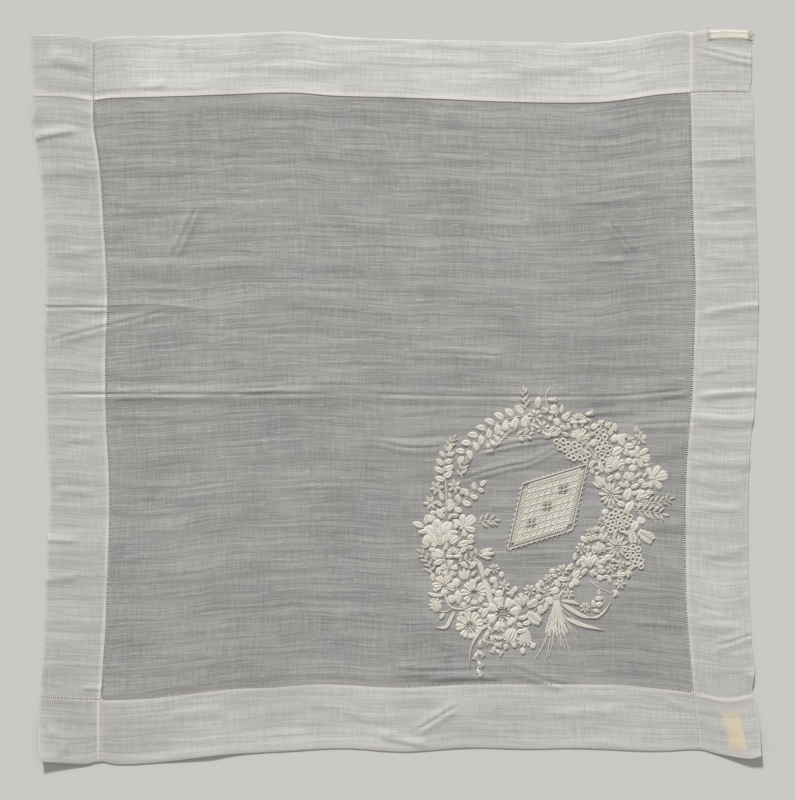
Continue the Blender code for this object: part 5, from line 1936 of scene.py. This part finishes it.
BLADES: tuple[Blade, ...] = (
    Blade(3.6, ((-41.4, -26.0), (-39.4, -30.0), (-38.2, -34.5), (-37.3, -39.0))),
    Blade(4.4, ((-37.6, -38.0), (-34.5, -45.5), (-33.1, -51.5), (-31.8, -57.5))),
    Blade(2.6, ((-31.9, -67.1), (-38.5, -70.7), (-42.7, -76.7), (-45.7, -83.9))),
    Blade(1.0, ((-45.0, -82.0), (-46.4, -88.0), (-46.6, -96.5))),
    Blade(2.6, ((-55.9, -59.3), (-58.9, -64.7), (-62.0, -69.8), (-68.6, -69.8))),
    Blade(2.4, ((-74.0, -47.2), (-70.4, -48.6), (-65.5, -49.2), (-61.5, -48.0))),
    Blade(2.4, ((-50.5, -60.0), (-45.0, -57.8), (-39.5, -56.8))),
    Blade(2.4, ((-31.6, -75.5), (-27.0, -76.8), (-22.5, -75.5))),
    Blade(3.0, ((12.8, -54.1), (19.4, -58.3), (27.2, -62.5), (33.0, -63.6))),
    Blade(1.7, ((31.0, -63.4), (36.5, -63.0), (41.5, -59.0), (45.4, -53.3))),
    Blade(3.0, ((15.4, -63.5), (22.4, -66.7), (29.6, -69.1), (40.5, -71.6))),
    Blade(2.6, ((13.0, -52.5), (19.5, -53.2), (25.2, -55.2))),
)

STEMS: tuple[StemLine, ...] = (
    StemLine(1.0, ((-63.5, -17.5), (-62.8, -26.0), (-57.0, -40.0), (-50.0, -52.0))),
    StemLine(0.9, ((-62.0, 25.0), (-61.5, 12.0), (-62.5, 3.0), (-64.0, -2.0))),
    StemLine(0.9, ((-59.5, 6.0), (-56.0, 10.0), (-52.0, 13.0))),
    StemLine(0.9, ((-50.0, -8.0), (-54.0, -14.0), (-60.0, -20.0))),
    StemLine(1.6, ((-62.5, -48.5), (-60.2, -54.5), (-57.1, -57.2), (-51.1, -57.8), (-46.0, -55.5))),
    StemLine(0.9, ((-66.0, -59.0), (-62.0, -59.5), (-57.1, -57.2))),
    StemLine(0.8, ((-9.0, 71.0), (-4.0, 70.0), (4.0, 66.0), (12.0, 62.0))),
    StemLine(0.9, ((5.5, 85.7), (3.1, 81.2), (4.1, 75.0), (6.9, 71.0), (14.0, 62.0), (22.0, 56.0))),
    StemLine(1.1, ((20.0, 58.0), (30.0, 48.5), (36.0, 40.0), (41.0, 33.0))),
    StemLine(0.8, ((50.5, 40.0), (54.0, 47.0), (60.5, 54.0))),
    StemLine(0.8, ((57.0, 30.0), (63.0, 27.0), (69.0, 26.5))),
    StemLine(1.0, ((58.0, 12.0), (64.0, 9.0), (70.0, 10.5))),
    StemLine(1.5, ((12.0, -49.0), (15.0, -45.0), (17.8, -40.6))),
    StemLine(0.9, ((17.0, -40.0), (20.5, -35.0), (27.0, -31.0), (38.0, -22.0))),
    StemLine(0.8, ((31.0, -39.0), (37.4, -44.0), (45.8, -47.5))),
    StemLine(0.9, ((-8.5, -70.5), (-7.0, -62.0), (2.0, -52.0))),
    StemLine(0.9, ((3.4, -50.4), (1.0, -52.5), (-1.5, -54.3))),
    StemLine(0.8, ((-19.0, -71.0), (-15.0, -64.0), (-10.0, -58.0))),
)


@dataclass(frozen=True)
class GrainFan:
    """The tied bundle of stalks at the wreath's foot, spread out like a fan."""

    x: float = 10.0
    y: float = -50.5
    stalks: int = 17
    low_turn: float = 252.0
    high_turn: float = 311.0
    long: float = 42.0
    short: float = 31.0
    ears: int = 7
    first_ear: float = 253.0
    ear_step: float = 5.6
    grains: int = 8
    grain_pitch: float = 2.6
    ties: int = 3

    def stitch(self, work: StitchWork) -> None:
        """Add the wavy stalks, the ears of grain and the tie."""
        for i in range(self.stalks):
            share = i / (self.stalks - 1)
            angle = self.low_turn + (self.high_turn - self.low_turn) * share + work.rng.normal(0.0, 1.5)
            reach = (self.long + (self.short - self.long) * share) * work.rng.uniform(0.66, 1.04)
            route = [(self.x + 3.6 * (share - 0.5), self.y + 1.5)]
            for step in (0.25, 0.5, 0.75, 1.0):
                sway = 1.3 * math.sin(4.0 * step + 1.9 * i) * step
                lean = 270.0 + (angle - 270.0) * (0.45 + 0.55 * step)
                route.append(polar(*polar(self.x, self.y, reach * step, lean), sway, lean + 90.0))
            work.cord(route, 0.95, 0.7, 0.55)
        for ear in range(self.ears):
            angle = self.first_ear + self.ear_step * ear
            for row in range(self.grains):
                x, y = polar(self.x, self.y, 2.0 + self.grain_pitch * row + 1.3 * (ear % 2), angle)
                work.petal(x, y, angle + work.rng.normal(0.0, 7.0), 4.6, 1.7, 0.75, Petal.LEAF, 0.0)
        for i in range(self.ties):
            low = self.y - 0.4 + i * 0.9
            work.cord([(self.x - 2.2, low - 0.4), (self.x, low), (self.x + 2.2, low + 0.4)], 0.85, 1.15, 1.0)


@dataclass(frozen=True)
class BandRow:
    """The wreath's inner and outer edges in one direction, in degrees from its right side."""

    turn: float
    inner: float
    outer: float


# The full part of the wreath's band. The light arc at its upper left is bare between its sprays.
BAND = (
    BandRow(-180, 46, 76), BandRow(-150, 47, 80), BandRow(-125, 50, 84), BandRow(-105, 46, 80),
    BandRow(-88, 40, 58), BandRow(-70, 34, 50), BandRow(-50, 32, 44), BandRow(-38, 32, 68),
    BandRow(-20, 30, 66), BandRow(0, 38, 66), BandRow(25, 44, 80), BandRow(45, 46, 80),
    BandRow(65, 48, 72), BandRow(90, 56, 74), BandRow(100, 58, 70), BandRow(100.01, 0, 0),
    BandRow(174, 0, 0), BandRow(174.01, 50, 72), BandRow(180, 48, 74),
)


@dataclass(frozen=True)
class GapFiller:
    """Small leaves, buds and knots at random places, which close the gaps of the band's full part.

    They follow no single stitch of the photograph.
    """

    tries: int = 6500
    crowding: float = 0.2
    reach: float = 1.05
    largest: float = 6.2
    shrink: float = 2.9
    lean: float = 75.0
    least_inner: float = 28.0

    def stitch(self, work: StitchWork) -> None:
        """Try small motifs at places over the band, and keep those on bare ground."""
        rng = np.random.default_rng(FILLER_SEED)
        turns = [row.turn for row in BAND]
        for attempt in range(self.tries):
            turn, share = rng.uniform(-180.0, 180.0), rng.uniform()
            tilt = rng.uniform(-self.lean, self.lean)
            inner = np.interp(turn, turns, [row.inner for row in BAND])
            outer = np.interp(turn, turns, [row.outer for row in BAND])
            if inner < self.least_inner:
                continue
            x, y = polar(0.0, 0.0, inner + (outer - inner) * share, turn)
            size = self.largest - self.shrink * attempt / self.tries
            kind = rng.choice(len(FILLERS))
            if self.is_free(work.covered, x, y, size):
                Motif(FILLERS[kind], x, y, size, turn + tilt).stitch(work)

    def is_free(self, covered: Covered, x: float, y: float, size: float) -> bool:
        """True where few cells of a round place are taken.

        Args:
            covered: The cells taken so far.
            x: The place's middle across.
            y: The place's middle up.
            size: The motif's width.

        Returns:
            Whether the motif fits there.
        """
        angles = np.linspace(0.0, FULL_TURN, 12, endpoint=False)
        radii = np.array([0.0, 0.2, 0.36])[:, None] * size * self.reach
        return covered.share(x + radii * np.cos(angles), y + radii * np.sin(angles)) < self.crowding


FILLERS = (Bloom.LEAF, Bloom.BROAD, Bloom.LEAF, Bloom.BUD, Bloom.KNOT)


@dataclass
class Wreath:
    """The whole whitework wreath, in pieces by the kind of stitch."""

    ground: Ground
    finishes: Finishes
    covered: Covered = field(default_factory=Covered)
    holes: list[Hole] = field(default_factory=list)

    def piece(self, name: str, motifs: Iterable) -> bpy.types.Object:
        """Stitch some motifs as one piece.

        Args:
            name: The piece's name.
            motifs: What to stitch.

        Returns:
            The finished piece.
        """
        work = StitchWork(self.ground, self.covered)
        for motif in motifs:
            motif.stitch(work)
        self.holes += work.holes
        return work.draft.to_object(name, self.finishes.wreath)

    def build(self) -> list[bpy.types.Object]:
        """Build every piece of the wreath, the small filling leaves last."""
        return [
            self.piece("stems", STEMS),
            self.piece("leaf_sprays", (*SPRAYS, *BLADES)),
            self.piece("eyelet_grapes", GRAPES),
            self.piece("bell_rows", BELL_ROWS),
            self.piece("grain_fan", (GrainFan(),)),
            self.piece("trellis_medallion", (Medallion(),)),
            self.piece("blossoms", MOTIFS),
            self.piece("filling_leaves", (GapFiller(),)),
        ]


@dataclass(frozen=True)
class Medallion:
    """The generic trellis lozenge inside the wreath."""

    x: float = 4.2
    y: float = 8.6
    length: float = 76.0
    width: float = 44.0
    tilt: float = 47.0
    border: float = 3.6
    stitch_length: float = 2.5
    stitch_pitch: float = 1.15
    lattice: float = 7.6
    window: float = 3.9
    stray: float = 5.0
    half_columns: int = 16
    half_lines: int = 4
    half_rows: int = 10
    half_reach: int = 42

    def place(self, along: float, aside: float) -> tuple[float, float]:
        """A point of the lozenge, from the wreath's middle."""
        return polar(*polar(self.x, self.y, along, self.tilt), aside, self.tilt + 90.0)

    def inset(self, along: float, aside: float) -> float:
        """How far a point lies inside the lozenge's outline."""
        half, wide = self.length / 2, self.width / 2
        return (1.0 - abs(along) / half - abs(aside) / wide) * half * wide / math.hypot(half, wide)

    def near_window(self, along: float, aside: float) -> bool:
        """True for a point in one of the three pierced groups on the long axis."""
        nearest = self.lattice * 2 * min(max(round(along / (self.lattice * 2)), -1), 1)
        return abs(along - nearest) + abs(aside) < self.window

    def stitch(self, work: StitchWork) -> None:
        """Add the border, the filling, the trellis lines and the pierced groups."""
        self.edge(work)
        self.filling(work)
        self.windows(work)

    def edge(self, work: StitchWork) -> None:
        """Add two raised lines, short satin blocks between them, and a fringe of points."""
        half, wide = self.length / 2, self.width / 2
        corners = [(half, 0.0), (0.0, wide), (-half, 0.0), (0.0, -wide)]
        inner = 1.0 - self.border / self.inset(0.0, 0.0)
        for i in range(4):
            start, end = np.array(corners[i]), np.array(corners[(i + 1) % 4])
            for scale in (1.0, inner):
                work.cord([self.place(*(scale * start)), self.place(*(scale * end))], 0.9, 0.95, 1.0)
            steps = round(float(np.linalg.norm(end - start)) / 1.75)
            outward = self.tilt + math.degrees(math.atan2(*((start + end) * (self.length, self.width))[::-1]))
            for step in range(steps):
                at = start + (end - start) * (step + 0.5) / steps
                work.petal(*self.place(*(inner * at)), outward, self.border, 1.2, 0.85, Petal.OVAL, 0.0)
                if step % 2:
                    work.petal(*self.place(*at), outward, 2.4, 0.9, 0.8, Petal.BLADE, 0.0)

    def filling(self, work: StitchWork) -> None:
        """Add the laid ground, the seed stitches on it, and the trellis lines over them."""
        self.ground_rows(work)
        rows = round(self.width / self.stitch_pitch)
        for row in range(-rows // 2, rows // 2 + 1):
            aside = row * self.stitch_pitch
            for column in range(-self.half_columns, self.half_columns + 1):
                along = (column + 0.5 * (row % 2)) * self.stitch_length
                clear = self.inset(along, aside) > self.border + 1.0
                if clear and not self.near_window(along, aside):
                    x, y = self.place(along - 0.5 * self.stitch_length, aside)
                    turn = self.tilt + work.rng.normal(0.0, self.stray)
                    work.petal(x, y, turn, 1.05 * self.stitch_length, 1.1, 0.6, Petal.OVAL, 0.0)
        for line in range(-self.half_lines, self.half_lines + 1):
            for slant in (-1, 1):
                run = [
                    (line * self.lattice + slant * step, 0.62 * step)
                    for step in range(-40, 41)
                    if self.inset(line * self.lattice + slant * step, 0.62 * step) > self.border
                ]
                if len(run) > 5:
                    work.cord([self.place(*run[0]), self.place(*run[-1])], 0.8, 0.95, 1.0)

    def ground_rows(self, work: StitchWork) -> None:
        """Add the flat laid rows under the filling, which stop at the pierced groups."""
        for row in range(-self.half_rows, self.half_rows + 1):
            aside = 2.0 * row
            run: list[float] = []
            for step in range(-self.half_reach, self.half_reach + 1):
                inside = self.inset(step, aside) > self.border - 0.6 and not self.near_window(step, aside)
                if inside:
                    run.append(step)
                if run and (not inside or step == self.half_reach):
                    if len(run) > 2:
                        work.cord([self.place(run[0], aside), self.place(run[-1], aside)], 2.4, 0.5, 1.0)
                    run = []

    def windows(self, work: StitchWork) -> None:
        """Add a group of four pierced eyelets at three places on the long axis."""
        for group in (-1, 0, 1):
            middle = group * self.lattice * 2
            for along, aside in ((-1.7, 0.0), (1.7, 0.0), (0.0, 1.5), (0.0, -1.5)):
                work.ring(*self.place(middle + along, aside), 1.05, 0.45, 0.9, pierce=True)


@dataclass
class CornerTape:
    """The cream tape sewn on the top right corner, frayed at both ends."""

    finishes: Finishes
    left: float = 203.6
    right: float = 229.2
    low: float = 232.2
    high: float = 237.6
    floor: float = 1.45
    thick: float = 0.32
    stray_ends: int = 16
    stitches: int = 13
    stitch_pitch: float = 1.9

    def build(self) -> list[bpy.types.Object]:
        """Build the strip, then the stitches and stray threads on it."""
        return [self.strip(), self.threads()]

    def strip(self) -> bpy.types.Object:
        """Build the woven strip with its folded upper edge."""
        columns, rows = 60, 13
        u, v = np.meshgrid(np.linspace(0.0, 1.0, columns), np.linspace(0.0, 1.0, rows), indexing="ij")
        x = self.left + (self.right - self.left) * u
        y = self.low + (self.high - self.low) * v + 0.5 * np.sin(np.pi * u)
        y = y + 0.25 * soft_noise(x, v * 9.0, 4.0, 3.0, 31)
        edge = np.minimum(np.minimum(v, 1 - v) * 8.0, np.minimum(u, 1 - u) * 60.0)
        over = self.thick * np.sqrt(np.clip(edge, 0.0, 1.0)) + 0.22 * smooth((v - 0.62) / 0.2)
        over = over + 0.08 * soft_noise(x, y, 2.0, 1.5, 32)
        z = self.floor + over * (edge > 0)
        draft = MeshDraft()
        points = np.stack([x, y, z], axis=-1).reshape(-1, 3)
        draft.add(points, np.stack([x, y], axis=-1).reshape(-1, 2), closed_patch_faces(columns, rows))
        return draft.to_object("tape_strip", self.finishes.tape)

    def threads(self) -> bpy.types.Object:
        """Build the frayed ends, the sewing stitches and a loose thread tail."""
        draft = MeshDraft()
        rng = np.random.default_rng(FRAY_SEED)
        z = self.floor + 0.25
        for i in range(2 * self.stray_ends):
            y = self.low + (self.high - self.low) * (i % self.stray_ends + 0.5) / self.stray_ends
            reach, drift = rng.uniform(0.8, 3.0), rng.uniform(-0.7, 0.7)
            start = (self.right - 1.2, y, z)
            end = (self.right + reach, y + drift, z + rng.uniform(-0.5, 0.3))
            if i >= self.stray_ends:
                start, end = (self.left + 1.2, y, z), (self.left - 0.6 * reach, y + drift, z - 0.1)
            thread_tube(draft, [start, ((start[0] + end[0]) / 2, y + 0.2 * drift, z + 0.1), end], 0.13)
        for i in range(self.stitches):
            x = self.left + 1.2 + i * self.stitch_pitch
            low_y = self.low - 0.5
            stitch = [(x, low_y, 1.3), (x + 0.25, low_y + 0.7, 1.95), (x + 0.5, low_y + 1.4, 1.9)]
            thread_tube(draft, stitch, 0.14)
        tail = [(204.2, 236.0, 1.9), (202.4, 238.6, 2.0), (201.8, 240.6, 1.5), (203.0, 241.9, 1.1)]
        thread_tube(draft, tail, 0.16)
        return draft.to_object("tape_threads", self.finishes.tape)


def thread_tube(draft: MeshDraft, route: Sequence[tuple[float, float, float]], radius: float) -> None:
    """Add one thin round thread along a route.

    Args:
        draft: The mesh being gathered.
        route: Its points, in millimetres.
        radius: Its radius.
    """
    given = np.array(route, dtype=float)
    steps = np.linspace(0, len(given) - 1, 4 * (len(given) - 1) + 1)
    path = np.stack([np.interp(steps, range(len(given)), given[:, k]) for k in range(3)], axis=-1)
    ahead = np.gradient(path, axis=0)
    ahead /= np.linalg.norm(ahead, axis=1, keepdims=True)
    side = np.cross(ahead, [0.0, 0.0, 1.0])
    side /= np.maximum(np.linalg.norm(side, axis=1, keepdims=True), 1e-9)
    over = np.cross(side, ahead)
    sides = 6
    turns = np.arange(sides) * FULL_TURN / sides
    points = (
        path[:, None, :]
        + radius * np.cos(turns)[None, :, None] * side[:, None, :]
        + radius * np.sin(turns)[None, :, None] * over[:, None, :]
    )
    rows = len(path)
    threads = np.stack(np.meshgrid(np.arange(rows) * 0.3, np.arange(sides) * 0.1, indexing="ij"), axis=-1)
    faces = [
        (i * sides + j, i * sides + (j + 1) % sides, (i + 1) * sides + (j + 1) % sides, (i + 1) * sides + j)
        for i in range(rows - 1)
        for j in range(sides)
    ]
    faces.append(tuple(range(sides - 1, -1, -1)))
    faces.append(tuple((rows - 1) * sides + j for j in range(sides)))
    draft.add(points.reshape(-1, 3), threads.reshape(-1, 2), faces)


@dataclass(frozen=True)
class Studio:
    """The pale floor, the soft light and the camera straight above."""

    floor_size: float = 6.0
    floor_colour: tuple[float, float, float, float] = (0.62, 0.615, 0.60, 1.0)
    sky: tuple[float, float, float, float] = (1.0, 0.99, 0.97, 1.0)
    sky_strength: float = 0.42
    sun_strength: float = 3.0
    sun_angle: float = 7.0
    sun_height: float = 34.0
    sun_side: float = 14.0
    view_middle: tuple[float, float] = (1.0, -2.1)
    view_height: float = 520.0
    lens: float = 110.0
    sensor: float = 36.0

    def build(self) -> None:
        """Build the floor, the light and the camera."""
        self.floor()
        self.light()
        self.camera()

    def floor(self) -> None:
        """A plain pale floor, which isn't part of the object."""
        half = self.floor_size / 2
        mesh = bpy.data.meshes.new("floor")
        corners = [(-half, -half, 0), (half, -half, 0), (half, half, 0), (-half, half, 0)]
        mesh.from_pydata(corners, [], [(0, 1, 2, 3)])
        material, nodes, shader = start_material("pale_floor")
        spot = nodes.add("TexCoord").outputs["Object"]
        grain = nodes.noise(spot, (240.0, 240.0, 1.0), 2.0)
        low = tuple(0.97 * c for c in self.floor_colour[:3]) + (1.0,)
        nodes.feed(shader.inputs["Base Color"], nodes.blend(grain, low, self.floor_colour))
        shader.inputs["Roughness"].default_value = 0.9
        mesh.materials.append(material)
        made = bpy.data.objects.new("floor", mesh)
        bpy.context.scene.collection.objects.link(made)

    def light(self) -> None:
        """One soft sun from beyond the top edge, and an even pale sky."""
        sun = bpy.data.lights.new("soft_sun", "SUN")
        sun.energy = self.sun_strength
        sun.angle = math.radians(self.sun_angle)
        made = bpy.data.objects.new("soft_sun", sun)
        made.rotation_mode = "XYZ"
        made.rotation_euler = (math.radians(-(90.0 - self.sun_height)), 0.0, math.radians(self.sun_side))
        bpy.context.scene.collection.objects.link(made)
        world = bpy.data.worlds.new("pale_sky")
        world.use_nodes = True
        back = world.node_tree.nodes["Background"]
        back.inputs["Color"].default_value = self.sky
        back.inputs["Strength"].default_value = self.sky_strength
        bpy.context.scene.world = world

    def camera(self) -> None:
        """The camera straight above the cloth, framed as the photograph is."""
        data = bpy.data.cameras.new("camera")
        data.lens = self.lens
        data.sensor_width = self.sensor
        made = bpy.data.objects.new("camera", data)
        far = self.lens / self.sensor * self.view_height * MM
        made.location = (self.view_middle[0] * MM, self.view_middle[1] * MM, far)
        bpy.context.scene.collection.objects.link(made)
        bpy.context.scene.camera = made
        bpy.context.scene.view_settings.view_transform = "Standard"


def dress(piece: bpy.types.Object) -> bpy.types.Object:
    """Let a piece ride on the part's one body with its finish, and report it.

    Args:
        piece: The piece.

    Returns:
        The same piece.
    """
    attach(piece, "root")
    LOG.info("%s: %d faces", piece.name, len(piece.data.polygons))
    return piece


def main() -> None:
    """Build the handkerchief's looks in order, and hide the imported cloth and tape that they dress."""
    logging.basicConfig(level=logging.INFO, format="%(message)s")
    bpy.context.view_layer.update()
    Studio().build()
    ground, finishes = Ground(), Finishes()
    wreath = Wreath(ground, finishes)
    embroidery = [dress(piece) for piece in wreath.build()]
    bars = dress(Hemstitch(ground, finishes).build())
    cloth = ClothSheet(ground, finishes)
    middle = dress(cloth.centre(wreath.holes))
    border = dress(cloth.hem(corner_seams()))
    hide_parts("cloth")
    tape = [dress(piece) for piece in CornerTape(finishes).build()]
    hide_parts("corner_tape")


if __name__ == "__main__":
    main()
